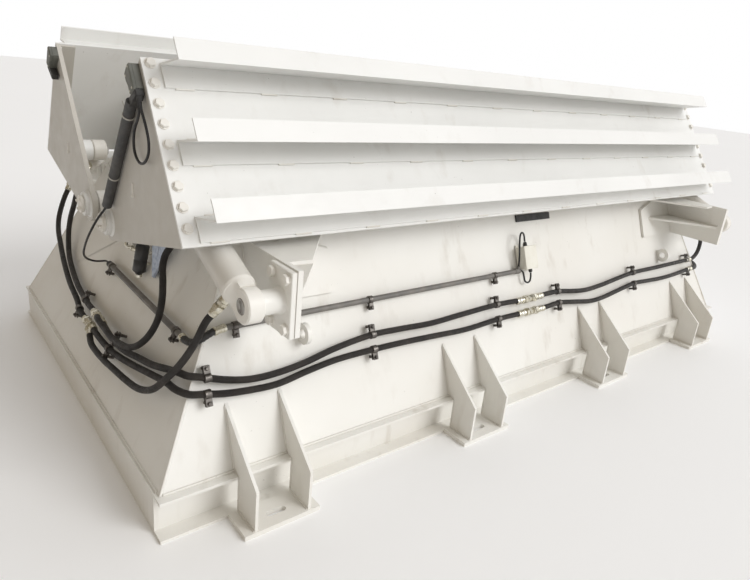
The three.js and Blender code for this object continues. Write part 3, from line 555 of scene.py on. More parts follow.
def free_hose(name, points, blend_from, blend_to):
    """A free hose from the base up to its barrel, attached to no body."""
    path, length = smooth_path(mm(*points), HOSE * 0.4)
    hose = piece(name + "_cover", pipe(path, HOSE / 2, 20), hose_rubber, None, "hose_rubber", 60)
    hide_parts(name)
    tuple(path[0])
    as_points(path)
    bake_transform(hose)


def free_cable(name, body):
    """A thin cable.  body may be None, which leaves the cable attached to no body."""
    path, length = smooth_path(mm(*CABLES[name]), CABLE * 0.6)
    cable = piece(name + "_jacket", pipe(path, CABLE / 2, 12), cable_rubber, body, "cable_rubber", 60)
    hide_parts(name)
    tuple(path[0])
    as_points(path)
    return cable


# Heights between which a hose passes from the base to its barrel.
CAP_BLEND, ROD_BLEND = (0.44, 0.63), (0.46, 0.75)
for hose_name, hose_points in HOSES.items():
    free_hose(hose_name, hose_points, *(CAP_BLEND if "cap" in hose_name else ROD_BLEND))

free_cable("box_loop_cable", "base")
free_cable("box_tail_cable", "base")
free_cable("sensor_loop", "right_jaw")
sensor_cable = free_cable("sensor_cable", None)
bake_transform(sensor_cable)

# ---------------- plates carried over from the CAD


def edged(node, material, width=0.0016):
    """Keeps a CAD plate, with its flat faces merged, its edges rounded and painted."""
    thing = frame["nodes"][node]
    thing.data.materials.clear()
    thing.data.materials.append(material)
    flat = thing.modifiers.new("flat", "DECIMATE")
    flat.decimate_type, flat.angle_limit = "DISSOLVE", math.radians(2)
    edge = thing.modifiers.new("edge", "BEVEL")
    edge.width, edge.segments, edge.limit_method = width, 2, "ANGLE"
    edge.angle_limit = math.radians(40)
    edge.harden_normals = True


def keep_plates():
    for side, _ in SIDES:
        edged(f"side_rail_{side}", base_paint, 0.003)
        edged(f"side_wall_{side}", hopper_paint)
        edged(f"jaw_skin_{side}", jaw_paint)
        for i in range(1, 5):
            edged(f"foot_{side}_{i}", base_paint)
        for i in range(1, 4):
            edged(f"jaw_stiffener_{side}_{i}", jaw_paint, 0.0022)
        for end, _ in ENDS:
            edged(f"cylinder_bracket_{side}_{end}", hopper_paint)
            # The end plates take the darker paint, which is painted shade.
            edged(f"jaw_end_plate_{side}_{end}", end_plate_painted_shade)
    for end, _ in ENDS:
        edged(f"end_rail_{end}", base_paint, 0.003)
        edged(f"end_wall_{end}", hopper_paint)


keep_plates()

# ---------------- cylinders and their pins

ROD_UP = ROD_WAY.cross(AXIS_X)
CYLINDER = placed(FIXED_PIN, AXIS_X, ROD_UP, ROD_WAY)
EYE_AXIS = turn_about("Y", 90)
TUBE, BORE, ROD = 0.049, 0.040, 0.0225
TUBE_START, GLAND_START, GLAND_END, ROD_EYE = 0.061, 0.385, 0.415, 0.4916
PORTS, PORT_REACH = (0.080, 0.400), 0.115
FLANGE_FACE, FLANGE_THICKNESS = 1.3553, 0.0175


def barrel_shape():
    """The tube with its gland and bore, the eye at its foot, and the cast neck between them."""
    collar, start, gland = TUBE + 0.0012, TUBE_START, GLAND_START
    profile = [
        (0, 0.046), (0.030, 0.046), (TUBE, start), (TUBE, start + 0.004), (collar, start + 0.006),
        (collar, start + 0.013), (TUBE, start + 0.015), (TUBE, gland - 0.012), (TUBE - 0.002, gland - 0.010),
        (TUBE - 0.002, gland - 0.003), (0.052, gland), (0.052, GLAND_END - 0.004), (0.048, GLAND_END),
        (0.030, GLAND_END), (0.029, GLAND_END + 0.003), (ROD + 0.0006, GLAND_END + 0.003),
        (ROD + 0.0006, gland), (BORE, gland), (BORE, 0.058), (0, 0.058),
    ]
    eye = mm((24.5, -25), (48, -25), (52, -21), (52, 21), (48, 25), (24.5, 25))
    sections = []
    for k in range(9):
        share = k / 8
        ease = share * share * (3 - 2 * share)
        ring = []
        for c, s in circle(1.0, 48, math.pi / 48):
            flat = min(0.0245 / max(abs(c), 1e-6), 0.046 / max(abs(s), 1e-6))
            r = flat + (0.0488 - flat) * ease
            ring.append((r * c, r * s, 0.030 + 0.036 * share))
        sections.append(ring)
    shape = turned(profile, CYLINDER, 56).join(turned(eye, CYLINDER @ EYE_AXIS, 56))
    return shape.add(*rings(sections), at=CYLINDER)


def ferrule(at, start, length, radius=0.0145):
    """A crimped hose ferrule: eight flats with two grooves, and a rolled end."""
    bore = 0.0112
    profile = [(bore, start)]
    for share, r in ((0, 0.93), (0.06, 1), (0.3, 1), (0.33, 0.94), (0.4, 0.94), (0.43, 1), (0.62, 1),
                     (0.65, 0.94), (0.72, 0.94), (0.75, 1), (0.94, 1), (1, 0.93)):
        profile.append((radius * r, start + length * share))
    profile.append((bore, start + length))
    return turned(profile, at, 16)


def port_fittings():
    """A boss, an adapter, a nut and a ferrule on each port of the barrel."""
    shape = Shape()
    for s in PORTS:
        at = CYLINDER @ shift(0, 0, s) @ turn_about("Z", 30) @ turn_about("X", 90)
        shape.join(
            turned(mm((0, 44), (16.5, 44), (16.5, 60), (14.5, 62), (0, 62)), at, 24),
            hexagon(0.0175, 0.062, 0.073, at, 0.0012),
            disc(0.0125, 0.073, 0.077, at, 0.0005, 24),
            hexagon(0.0185, 0.077, 0.090, at, 0.0012, 0.3),
            ferrule(at, 0.089, PORT_REACH - 0.089),
        )
    return shape


def rod_shape():
    piston, neck = BORE - 0.0007, ROD_EYE - 0.030
    profile = [(0, 0.060), (piston, 0.060), (piston, 0.110), (ROD, 0.110), (ROD, neck - 0.020), (ROD, neck),
               (0, neck)]
    return turned(profile, CYLINDER, 48)


def rod_eye_shape():
    at = CYLINDER @ shift(0, 0, ROD_EYE)
    ring = mm((24.5, -27), (39, -27), (43, -23), (43, 23), (39, 27), (24.5, 27))
    neck = mm((0, -62), (30, -62), (32, -58), (32, -34), (30, -30), (0, -30))
    return turned(ring, at @ EYE_AXIS, 48).join(turned(neck, at, 40))


def pin_end(at, low, high):
    """A pin with a chamfered end and a keeper bar held by two screws."""
    shape = disc(0.024, low, high, at, 0.002, 40)
    shape.join(block((-0.0165, -0.0055, high - 0.001), (0.0165, 0.0055, high + 0.0028), 0.0008, at))
    screw = disc_profile(0.0035, high + 0.0025, high + 0.0045, 0.0006)
    for x in (-0.011, 0.011):
        shape.join(turned(screw, at @ shift(x, 0, 0), 12))
    return shape


def make_cylinders():
    """All four cylinders, each with the flange that carries its fixed pin."""
    low = FLANGE_FACE - FIXED_PIN.x
    high = low + FLANGE_THICKNESS
    pin = Matrix.Translation(FIXED_PIN) @ EYE_AXIS
    eye = CYLINDER @ shift(0, 0, ROD_EYE) @ EYE_AXIS @ turn_about("X", 180)
    flange = block((low, -0.0625, -0.1), (high, 0.0625, 0.1), 0.002, Matrix.Translation(FIXED_PIN))
    boss = [(0, high - 0.001), (0.0425, high - 0.001), (0.0385, high + 0.006), (0.0365, high + 0.009),
            (0.0365, -0.029), (0.034, -0.0265), (0, -0.0265)]
    flange.join(turned(boss, pin, 40))
    bolts = Shape()
    for y in (-0.040, 0.040):
        for z in (-0.075, 0.075):
            spot = Matrix.Translation(FIXED_PIN + Vector((high, y, z))) @ EYE_AXIS
            bolts.join(bolt(spot, 0.0285, 0.0115, 0.0185))
    # name, shape, material, body, slot, node it stands for
    parts = (
        ("barrel", barrel_shape(), cylinder_paint, "barrel", "cylinder_paint", "cylinder_barrel"),
        ("port_fittings", port_fittings(), zinc, "barrel", None, None),
        ("rod", rod_shape(), chrome, "rod", "rod_chrome", "piston_rod"),
        ("rod_eye", rod_eye_shape(), cylinder_paint, "rod", "cylinder_paint", None),
        ("rod_eye_pin", pin_end(eye, -0.0265, 0.035), dull_steel, "rod", None, None),
        ("flange", flange, hopper_paint, "base", "pin_steel", "pin_flange"),
        ("flange_bolts", bolts, cylinder_paint, "base", None, None),
        ("fixed_pin", pin_end(pin, -0.0268, 0.0265), dull_steel, "base", "pin_steel", None),
    )
    for side, sy in SIDES:
        for end, sx in ENDS:
            for name, shape, material, body, slot, node in parts:
                rides = body if body == "base" else f"{side}_{end}_{body}"
                thing = piece(f"{name}_{side}_{end}", shape.mirrored(sx, sy), material, rides, slot)
                if node:
                    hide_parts(f"{node}_{side}_{end}")


make_cylinders()

# ---------------- jaws

down = (JAW_TAIL - JAW_LIP).normalized()
out = Vector((0, -down.z, down.y))
SKIN_LENGTH = (JAW_TAIL - JAW_LIP).length
STITCH, STITCH_WELD, STITCH_SPACING = 0.055, 0.0035, 0.27
STIFFENER_LEAN, STIFFENER_FOOT = 0.0537, 0.073       # how far the web leans, the foot's width
SKIN_BOLT_X, SKIN_BOLT_SPACING = 1.576, 0.061


def on_skin(x, s, n):
    """A point s down the jaw's skin from its lip, and n out from its face."""
    return PIVOT + Vector((x, 0, 0)) + JAW_LIP + down * s + out * n


def skin_bolts():
    """A row of bolts through each end of the skin into the end plate's flange."""
    shape = Shape()
    for x in (-SKIN_BOLT_X, SKIN_BOLT_X):
        for i in range(9):
            spot = on_skin(x, 0.017 + SKIN_BOLT_SPACING * i, 0.0)
            shape.join(bolt(towards(spot, spot + out, AXIS_X), 0.024, 0.009, 0.0165))
    return shape


def stiffener_welds():
    """Stitch welds along both edges of each stiffener's foot."""
    shape = Shape()
    for edge in STIFFENER_EDGES:
        root = edge - STIFFENER_LEAN
        foot = root + STIFFENER_FOOT
        rows = [(root - 0.0045, 0.002)]
        if foot < SKIN_LENGTH - 0.002:
            rows.insert(0, (foot + 0.001, 0.0025))
        for i in range(12):
            x = -1.52 + i * STITCH_SPACING
            for s, n in rows:
                shape.join(bead(on_skin(x, s, n), on_skin(x + STITCH, s, n), STITCH_WELD))
    return shape


def jaw_hubs():
    """Smooth collars over each end plate's hub and clevis boss."""
    shape = Shape()
    clevis = PIVOT + Vector((0, 0.3395, 0.1473))
    collar = mm((26.2, -1), (53, -1), (48.5, 3.5), (45.5, 5.5), (45.5, 18.5), (44, 20.3), (26.2, 20.3))
    cover = mm((0, -1), (47.5, -1), (43.5, 5), (42.5, 7), (42.5, 86.5), (40.5, 88.8), (0, 88.8))
    for sx in (-1, 1):
        hub = towards(PIVOT + AXIS_X * sx * JAW_LENGTH, PIVOT + AXIS_X * sx * 2)
        boss = towards(clevis + AXIS_X * sx * 1.584, clevis)
        shape.join(turned(collar, hub, 48), turned(cover, boss, 48))
    return shape


def end_plate_welds():
    """Beads between each end plate and the skin's flange, and a stud on the plate's face."""
    shape = Shape()
    for sx in (-1, 1):
        inside = sx * (JAW_LENGTH - 0.0175)
        seam = bead(on_skin(inside, 0.010, -0.018), on_skin(inside, SKIN_LENGTH - 0.010, -0.018), 0.003)
        stud = PIVOT + Vector((sx * JAW_LENGTH, 0.2625, 0.170))
        path = [stud + AXIS_Z * (0.022 - 0.0044 * k) for k in range(11)]
        shape.join(seam, pipe(path, lambda s: 0.004 + 0.003 * (s > 0.036), 12))
    return shape


def make_jaws():
    shapes = (
        ("skin_bolts", skin_bolts(), cylinder_paint), ("stiffener_welds", stiffener_welds(), weld_paint),
        ("hub_collars", jaw_hubs(), jaw_paint), ("end_plate_welds", end_plate_welds(), weld_paint),
    )
    for side, sy in SIDES:
        for name, shape, material in shapes:
            piece(f"{name}_{side}", shape.mirrored(1, sy), material, f"{side}_jaw", "jaw_paint", 40)


make_jaws()

# ---------------- hopper, pivots and feet


def pivot_bosses():
    """Smooth bosses on an end wall, their welds, and the bolted caps of the hinge pins."""
    shape, caps = Shape(), Shape()
    nose_x, lip_x, cap_x = 1.5700, 1.5722, 1.6212
    for sy in (-1, 1):
        centre = Vector((0, sy * PIVOT.y, PIVOT.z))
        root, nose, lip, seam = [], [], [], []
        for a, b in circle(0.0485, 48):
            y, z = centre.y + a, centre.z + b
            root.append((end_x(z) - 0.003, y, z))
            nose.append((nose_x, y, z))
            lip.append((lip_x, centre.y + a * 0.95, centre.z + b * 0.95))
        for a, b in circle(0.0505, 60):
            y, z = centre.y + a, centre.z + b
            seam.append(Vector((end_x(z) + 0.001, y, z)))
        ripples = pipe(seam + seam[:2], lambda s: 0.0055 * (1 + 0.12 * math.sin(s * 840)), 8)
        shape.add(*rings([root, nose, lip])).join(ripples)
        hub = towards(centre + AXIS_X * cap_x, centre + AXIS_X * 2)
        caps.join(disc(0.0335, 0.0, 0.0125, hub, 0.0015, 48))
        for x, y in circle(0.022, 4, 0.5):
            caps.join(bolt(hub @ shift(x, y, 0.0122), 0.010, 0.005, 0.0068))
    return shape, caps


def side_seam(x0, z0, x1, z1, off, radius):
    """A bead along the side wall, or along a plate that stands off it."""
    return bead((x0, side_y(z0, off), z0), (x1, side_y(z1, off), z1), radius)


def hopper_welds():
    """Seams of one quarter: the corner, the rails, the feet, the cylinder bracket and the lug."""
    low, high, foot = RAIL_HEIGHT + 0.002, RIM - 0.002, 0.1425
    side, end, web = side_y(foot) + 0.0015, end_x(foot) + 0.0005, RAIL_WIDTH - 0.0575
    shape = Shape().join(
        bead((end_x(low) - 0.002, side_y(low), low), (end_x(high) - 0.002, side_y(high), high), 0.004),
        bead((0.0, side, foot), (1.700, side, foot), 0.0045),
        bead((end, 0.0, foot), (end, 0.880, foot), 0.0045),
        bead((1.7168, web, 0.004), (1.7168, web, 0.137), 0.0025),
    )
    for x in FOOT_STATIONS[2:]:
        for at in (x - 0.0974, x - 0.0866, x + 0.0866, x + 0.0974):
            shape.join(
                bead((at, side_y(0.150) + 0.003, 0.150), (at, side_y(0.330) + 0.003, 0.330), 0.0035),
                bead((at, 0.933, 0.0175), (at, 1.040, 0.0175), 0.0035),
                bead((at, 0.9315, 0.022), (at, 0.9315, 0.136), 0.003),
            )
    for x in (1.3385, 1.3555):
        shape.join(side_seam(x, 0.606, x, 0.786, 0.0135, 0.0035))
    pad = ((1.040, 0.600), (1.400, 0.600), (1.400, 0.787), (1.185, 0.787), (1.040, 0.740))
    for (x0, z0), (x1, z1) in zip(pad, pad[1:] + pad[:1]):
        shape.join(side_seam(x0, z0, x1, z1, 0.003, 0.004))
    shelf, shelf_z, plate = side_y(0.7025, 0.0135), 0.7015, 1.3375
    shape.join(
        bead((1.130, shelf, shelf_z), (1.335, shelf, shelf_z), 0.0035),
        bead((plate, 0.720, shelf_z), (plate, 0.975, shelf_z), 0.0035),
        bead((plate, 0.660, 0.7935), (plate, 0.915, 0.7935), 0.0035),
    )
    lug_y = side_y(LUG_HEIGHT, 0.002)
    for x in (1.1785, 1.1975):
        shape.join(bead((x, lug_y + 0.009, 0.478), (x, lug_y - 0.006, 0.516), 0.004))
    return shape


def lifting_lugs():
    """Smooth rings over the two lifting lugs of one side."""
    shape = Shape()
    ring = mm((15.7, 1), (16.7, 0), (35.2, 0), (36.4, 1.2),
              (36.4, 15.6), (35.2, 16.8), (16.7, 16.8), (15.7, 15.8))
    for x in (-1.188, 1.188):
        centre = Vector((x - 0.0084, side_y(LUG_HEIGHT, 0.030), LUG_HEIGHT))
        shape.join(turned(ring, towards(centre, centre + AXIS_X), 48))
    return shape


def make_hopper():
    bosses, caps = pivot_bosses()
    for end, sx in ENDS:
        piece(f"pivot_bosses_{end}", bosses.mirrored(sx, 1), hopper_paint, "base", "hopper_paint", 40)
        piece(f"pin_caps_{end}", caps.mirrored(sx, 1), cylinder_paint, "base", "hopper_paint")
    seams, lugs = hopper_welds(), lifting_lugs()
    for side, sy in SIDES:
        piece(f"lug_rings_{side}", lugs.mirrored(1, sy), hopper_paint, "base", "hopper_paint")
        for end, sx in ENDS:
            quarter = seams.mirrored(sx, sy)
            piece(f"hopper_welds_{side}_{end}", quarter, weld_paint, "base", "hopper_paint", 60)


make_hopper()

# ---------------- held hydraulic lines

# Where each line runs along the right side wall: (x, z).  Its centre is WALL_GAP off the wall.
WALL_GAP = 0.030
UPPER_SIDE = mm(
    (1490, 443), (1400, 443), (1250, 443), (1100, 443), (850, 444), (690, 434), (540, 422), (400, 418),
    (290, 428), (185, 441), (80, 442), (-30, 440), (-240, 446), (-460, 441), (-630, 436), (-780, 442),
    (-915, 445), (-1080, 430), (-1200, 410), (-1310, 400), (-1400, 402), (-1480, 418),
)
UPPER_END = mm(
    (-1550, -808, 438), (-1582, -797, 444), (-1600, -760, 444), (-1606, -710, 430), (-1620, -600, 398),
    (-1629, -487, 374), (-1639, -382, 354), (-1644, -257, 345), (-1641, -143, 351), (-1640, -100, 352),
)
LOWER_SIDE = mm(
    (1490, 391), (1400, 388), (1270, 382), (1140, 381), (1000, 386), (850, 391), (740, 382), (640, 372),
    (540, 363), (440, 362), (310, 377), (185, 391), (80, 388), (-30, 387), (-240, 389), (-440, 382),
    (-640, 389), (-780, 394), (-915, 396), (-1080, 394), (-1200, 382), (-1310, 368), (-1400, 371),
    (-1485, 380),
)
LOWER_END = mm(
    (-1550, -830, 392), (-1590, -822, 398), (-1614, -785, 401), (-1620, -723, 396), (-1630, -600, 370),
    (-1645, -451, 340), (-1657, -291, 315), (-1661, -133, 309), (-1659, -45, 313),
)
CLAMP_STATIONS = (-0.915, -0.240, 0.185, 0.855, 1.460)
COUPLING_X = -0.026

# Directions along a line, up the wall and out from it.
SIDE_WALL_AXES = [Vector(v).normalized() for v in ((1, 0, 0), (0, SIDE_LEAN, 1), (0, -1, SIDE_LEAN))]
END_WALL_AXES = [Vector(v).normalized() for v in ((0, -1, 0), (END_LEAN, 0, 1), (-1, 0, END_LEAN))]


def on_side(x, z):
    """A point on the centre of a line held to the right side wall."""
    return Vector((x, -side_y(z, WALL_GAP), z))


def clamp(centre, axes, gap, way, radius, half=0.0105):
    """A clamp band, its two tabs with a bolt through them, and the stud that holds it off the wall."""
    along, up, off = axes
    at = placed(centre, along * way, up * way, off)
    inner, band, edge = radius - 0.0004, radius + 0.0035, half - 0.001
    ring = [(inner, -half), (band - 0.001, -half), (band, -edge),
            (band, edge), (band - 0.001, half), (inner, half)]
    shape = turned(ring, at @ turn_about("Y", 90), 24)
    for low, high in ((-0.0060, -0.0032), (0.0032, 0.0060)):
        shape.join(block((-half, radius - 0.001, low), (half, 0.0375, high), 0.0006, at))
    bolt_at = at @ shift(0, 0.0285, 0)
    return shape.join(
        disc(0.0055, -gap + 0.0004, -0.0058, bolt_at, 0.0006, 16),
        disc(0.0042, -0.0035, 0.0035, bolt_at, 0.0004, 12),
        bolt(bolt_at @ shift(0, 0, 0.0058), 0.010, 0.0045, 0.0068),
    )


def hose_end(start, end, nut_length, radius=0.0145, nut_radius=0.018):
    """A hose end: a ferrule from start, then a hexagon nut with a waist up to end."""
    length = (Vector(end) - Vector(start)).length
    at = towards(start, end)
    nut, waist, shoulder, tip = (length - nut_length * share for share in (1, 0.46, 0.36, 0.37))
    return ferrule(at, 0.0, length - nut_length, radius).join(
        hexagon(nut_radius, nut - 0.001, length - nut_length * 0.45, at, 0.0012, 0.2),
        disc(nut_radius * 0.74, waist, shoulder, at, 0.0005, 24),
        hexagon(nut_radius * 0.97, tip, length, at, 0.0012, 0.6),
    )


def tee(centre, along, branch):
    """A forged tee: a body with three round necks."""
    centre, along, branch = Vector(centre), Vector(along).normalized(), Vector(branch).normalized()
    at = towards(centre, centre + along, branch)
    shape = block((-0.0135, -0.0135, -0.015), (0.0135, 0.0135, 0.015), 0.003, at)
    neck = disc_profile(0.01287, 0.0, 0.022, 0.001)
    for way in (along, -along, branch):
        shape.join(turned(neck, towards(centre, centre + way), 24))
    return shape


def side_line(side_route, end_route, first_clamp, tab_way, name):
    """A line along the side wall and round to the near end wall, with its clamps and couplings."""
    path, _ = smooth_path([on_side(x, z) for x, z in side_route] + end_route, HOSE * 0.5)
    line = piece(f"{name}_cover", pipe(path, HOSE / 2, 20), hose_rubber, "base", "hose_rubber", 60)
    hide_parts(name)
    clamps = Shape()
    for x in (first_clamp,) + CLAMP_STATIONS:
        centre = min(path, key=lambda p: abs(p.x - x))
        clamps.join(clamp(centre, SIDE_WALL_AXES, WALL_GAP, tab_way, HOSE / 2))
    piece(f"{name}_clamps", clamps, clamp_steel, "base")
    level = min(path, key=lambda p: abs(p.x - COUPLING_X)).z
    joint, start = on_side(0.0, level), path[0]
    fittings = hose_end(joint - AXIS_X * 0.117, joint - AXIS_X * 0.036, 0.031).join(
        hose_end(joint + AXIS_X * 0.063, joint - AXIS_X * 0.018, 0.031),
        prism(circle(0.0135, 6, 0.4), 0.0, 0.018, towards(joint - AXIS_X * 0.036, joint)),
        ferrule(towards(start + AXIS_X * 0.007, start), 0.0, 0.052),
    )
    piece(f"{name}_couplings", fittings, zinc, "base")
    return path


def near_end_fittings():
    """The two tees on the near end wall and the hose ends screwed to them."""
    return tee((-1.640, -0.070, 0.3525), (0.001, 0.050, 0.001), (-0.013, -0.046, 0.019)).join(
        hose_end((-1.640, -0.136, 0.3515), (-1.6399, -0.086, 0.352), 0.020),
        hose_end((-1.638, -0.0075, 0.354), (-1.6392, -0.056, 0.353), 0.024),
        hose_end((-1.6546, -0.1135, 0.3750), (-1.6445, -0.0855, 0.3605), 0.012, 0.0138, 0.0165),
        tee((-1.660, -0.020, 0.312), (-0.001, 0.050, 0), (-0.014, -0.058, -0.0185)),
        hose_end((-1.660, -0.082, 0.3105), (-1.660, -0.036, 0.312), 0.018),
        hose_end((-1.661, 0.033, 0.312), (-1.660, -0.005, 0.312), 0.018),
        hose_end((-1.6756, -0.0812, 0.2915), (-1.6655, -0.0385, 0.3055), 0.018, 0.0138, 0.0165),
    )


def end_wall_gap(point):
    """How far a point stands off an end wall."""
    return (abs(point.x) - end_x(point.z)) / math.hypot(1, END_LEAN)


def near_end_clamps(upper, lower):
    """Clamps where the lines and the left cylinder's hoses cross the near end wall."""
    rod_hose, _ = smooth_path(mm(*HOSES["hose_rod_left_near"]), HOSE * 0.4)
    cap_hose, _ = smooth_path(mm(*HOSES["hose_cap_left_near"]), HOSE * 0.4)
    spots = ((upper, -0.290, 1), (lower, -0.268, -1), (rod_hose, 0.127, 1), (cap_hose, 0.129, -1))
    shape = Shape()
    for path, y, way in spots:
        centre = min((p for p in path if p.x < -1.55), key=lambda p: abs(p.y - y))
        shape.join(clamp(centre, END_WALL_AXES, end_wall_gap(centre), way, HOSE / 2))
    return shape


clamp_steel = bare_metal("clamp_steel", (0.20, 0.185, 0.17), (0.10, 0.092, 0.085), 0.4, 60)
upper_path = side_line(UPPER_SIDE, UPPER_END, -1.530, 1, "hydraulic_line_upper")
lower_path = side_line(LOWER_SIDE, LOWER_END, -1.543, -1, "hydraulic_line_lower")
piece("near_end_fittings", near_end_fittings(), zinc, "base")
piece("near_end_clamps", near_end_clamps(upper_path, lower_path), clamp_steel, "base")

# ---------------- conduit and junction box

CORNER = ((-1.551, -0.650, 0.508), (-1.551, -0.700, 0.510), (-1.545, -0.738, 0.519), (-1.529, -0.758, 0.535),
          (-1.503, -0.762, 0.550), (-1.465, -0.757, 0.557), (-1.380, -0.7562, 0.557))
RIDGE_PITCH = 0.009


def on_side_run(x):
    """A point of the conduit's centre along the side wall."""
    return Vector((x, -0.7562, 0.557))


def on_end_run(y):
    """A point of the conduit's centre along the near end wall."""
    return Vector((-1.551, y, 0.508))


def ridged(distance):
    """The conduit's radius, a distance along it."""
    return CONDUIT / 2 - 0.0005 * (1 - math.cos(2 * math.pi * distance / RIDGE_PITCH)) / 2


def make_conduit():
    """The ridged tube, the rubber bend at the corner, its boots and ferrules, and the clamps."""
    corner, _ = smooth_path(CORNER, 0.003)
    bend = [p for p in corner if p.y < -0.672 and p.x < -1.478]
    run = pipe(straight(on_end_run(0.070), on_end_run(-0.690)), ridged, 14)
    run.join(pipe(straight(on_side_run(-1.470), on_side_run(-0.085)), ridged, 14))
    tube = piece("conduit_tube", run, conduit_plastic, "base", "conduit", 60)
    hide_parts("cable_conduit")
    sleeve = mm((0, 0), (11.5, 0), (12.5, 2), (12.5, 26), (10.5, 30), (6, 34), (0, 34))
    seals = pipe(bend, lambda s: 0.0112 - 0.0006 * math.cos(2 * math.pi * s / 0.012), 16)
    seals.join(turned(sleeve, towards(on_end_run(0.050), on_end_run(0.084)), 24))
    piece("conduit_seals", seals, black_seal, "base", "conduit", 60)
    boot = mm((0, 0), (11.5, 0), (12.5, 2), (12.5, 30), (9.5, 34), (0, 34))
    spout = mm((0, 0), (8.5, 0), (8.5, 15), (7, 17), (7, 21), (0, 22))
    branch = on_side_run(-0.070)
    end = turned(boot, towards(on_side_run(-0.092), on_side_run(-0.058)), 24)
    end.join(turned(spout, towards(branch, branch + AXIS_Z), 20))
    piece("conduit_tee", end, conduit_plastic, "base", "conduit")
    adapter = mm((0, 0), (12.5, 0), (13.5, 1), (13.5, 10), (12.2, 12), (12.2, 30), (13.2, 31), (13.2, 40),
                 (12.2, 41), (0, 41))
    collar = mm((0, 0), (12.5, 0), (13.3, 1), (13.3, 18), (12.5, 19), (0, 19))
    ferrules = turned(adapter, towards((-1.492, -0.7618, 0.5535), (-1.452, -0.7562, 0.5575)), 28)
    ferrules.join(turned(collar, towards(on_end_run(-0.664), on_end_run(-0.690)), 28))
    piece("conduit_ferrules", ferrules, zinc, "base")
    clamps = Shape()
    for x in (-1.420, -0.897, -0.224):
        clamps.join(clamp(on_side_run(x), SIDE_WALL_AXES, 0.020, -1, CONDUIT / 2, 0.009))
    for y in (0.046, -0.620):
        centre = on_end_run(y)
        clamps.join(clamp(centre, END_WALL_AXES, end_wall_gap(centre), -1, CONDUIT / 2, 0.009))
    piece("conduit_clamps", clamps, clamp_steel, "base")


make_conduit()

BOX_PLACE = shift(-0.010, -0.7461, 0.610) @ Matrix.Rotation(-math.atan(SIDE_LEAN), 4, "X")
BOX_HALF = Vector((0.040, 0.025, 0.050))


def rounded(half_x, half_y, radius):
    """A rectangle with round corners."""
    points = []
    for cx, cy, start in ((1, 1, 0), (-1, 1, 90), (-1, -1, 180), (1, -1, 270)):
        x, y = cx * (half_x - radius), cy * (half_y - radius)
        for k in range(6):
            angle = math.radians(start + 18 * k)
            points.append((x + radius * math.cos(angle), y + radius * math.sin(angle)))
    return points


def make_junction_box():
    x, y, z = BOX_HALF
    front = BOX_PLACE @ turn_about("X", 90)
    shell = prism(rounded(x, z, 0.004), -y, y - 0.0125, front)
    shell.join(prism(rounded(x + 0.002, z + 0.002, 0.006), y - 0.0118, y + 0.002, front, 0.002))
    screw = mm((1.6, 0), (4.2, 0), (4.2, 0.7), (3.6, 1.2), (1.6, 1.2))
    for cx in (-1, 1):
        for cz in (-1, 1):
            shell.join(turned(screw, front @ shift(cx * (x - 0.006), cz * (z - 0.006), y + 0.0015), 16))
        ear, reach = cx * 0.030, z + 0.010
        shell.join(block((ear - 0.008, -reach, -y - 0.001), (ear + 0.008, reach, -y + 0.003), 0.0008, front))
    box_shell = piece("box_shell", shell, box_plastic, "base", "box_shell")
    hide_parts("junction_box")
    seal = prism(rounded(x - 0.001, z - 0.001, 0.004), y - 0.0126, y - 0.0117, front)
    gland = mm((0, 5), (8.5, 5), (8.8, 12), (8, 17), (4.8, 20.5), (0, 20.5))
    top, bottom = BOX_PLACE @ shift(0, 0, z - 0.001), BOX_PLACE @ shift(0.015, 0, 0.001 - z)
    for at in (top, bottom @ turn_about("X", 180)):
        seal.join(hexagon(0.0095, 0.0, 0.006, at, 0.0008, 0.3), turned(gland, at, 24))
    piece("box_glands", seal, black_seal, "base", "box_shell")


make_junction_box()

# ---------------- sensors

# Outlines down the jaw's skin from its lip and in from the skin, as in the CAD.
SENSOR_HEAD = ((0.009, -0.020), (0.088, -0.020), (0.088, -0.054), (0.066, -0.054), (0.042, -0.064),
               (0.018, -0.064), (0.009, -0.030))
SENSOR_BLOCK = ((0.084, -0.098), (0.084, -0.020), (0.105, -0.020), (0.105, -0.098))
SENSOR_BACK = -1.6003
SLEEVE_X, SLEEVE = -1.618, 0.0165
SLEEVE_ENDS = ((0.080, -0.005), (0.556, 0.0438))
LOOP_GLAND = Vector((LOOP_X / 1000, PIVOT.y + 0.3985, PIVOT.z + 0.4530))


def on_jaw_line(x, along_line, off):
    """A point on the line from the left jaw's pivot to its lip, and off to the outside of it."""
    way = JAW_LIP.normalized()
    return Vector((x, PIVOT.y, PIVOT.z)) + way * along_line + Vector((0, way.z, -way.y)) * off


def sensor_head():
    """The sensor's housing: a faceted shell and a lid with a seam between them, and the lid's screws."""
    at = placed(on_skin(SENSOR_BACK, 0.0, 0.0), out, down, -AXIS_X)
    outline = [(n, s) for s, n in SENSOR_HEAD]
    centre = Vector((-0.041, 0.049))
    lid = [tuple(Vector(p) + (centre - Vector(p)).normalized() * 0.0014) for p in outline]
    shape = prism(outline, 0.0, 0.0205, at, 0.0008)
    shape.join(prism(lid, 0.0203, 0.0215, at), prism(outline, 0.0213, 0.0320, at, 0.0040))
    screws, screw = Shape(), mm((1.2, 0), (3.4, 0), (3.4, 0.5), (2.8, 1), (1.2, 1))
    for n, s in ((-0.026, 0.017), (-0.026, 0.080), (-0.048, 0.080), (-0.057, 0.028)):
        screws.join(turned(screw, at @ shift(n, s, 0.0315), 14))
    return shape, screws


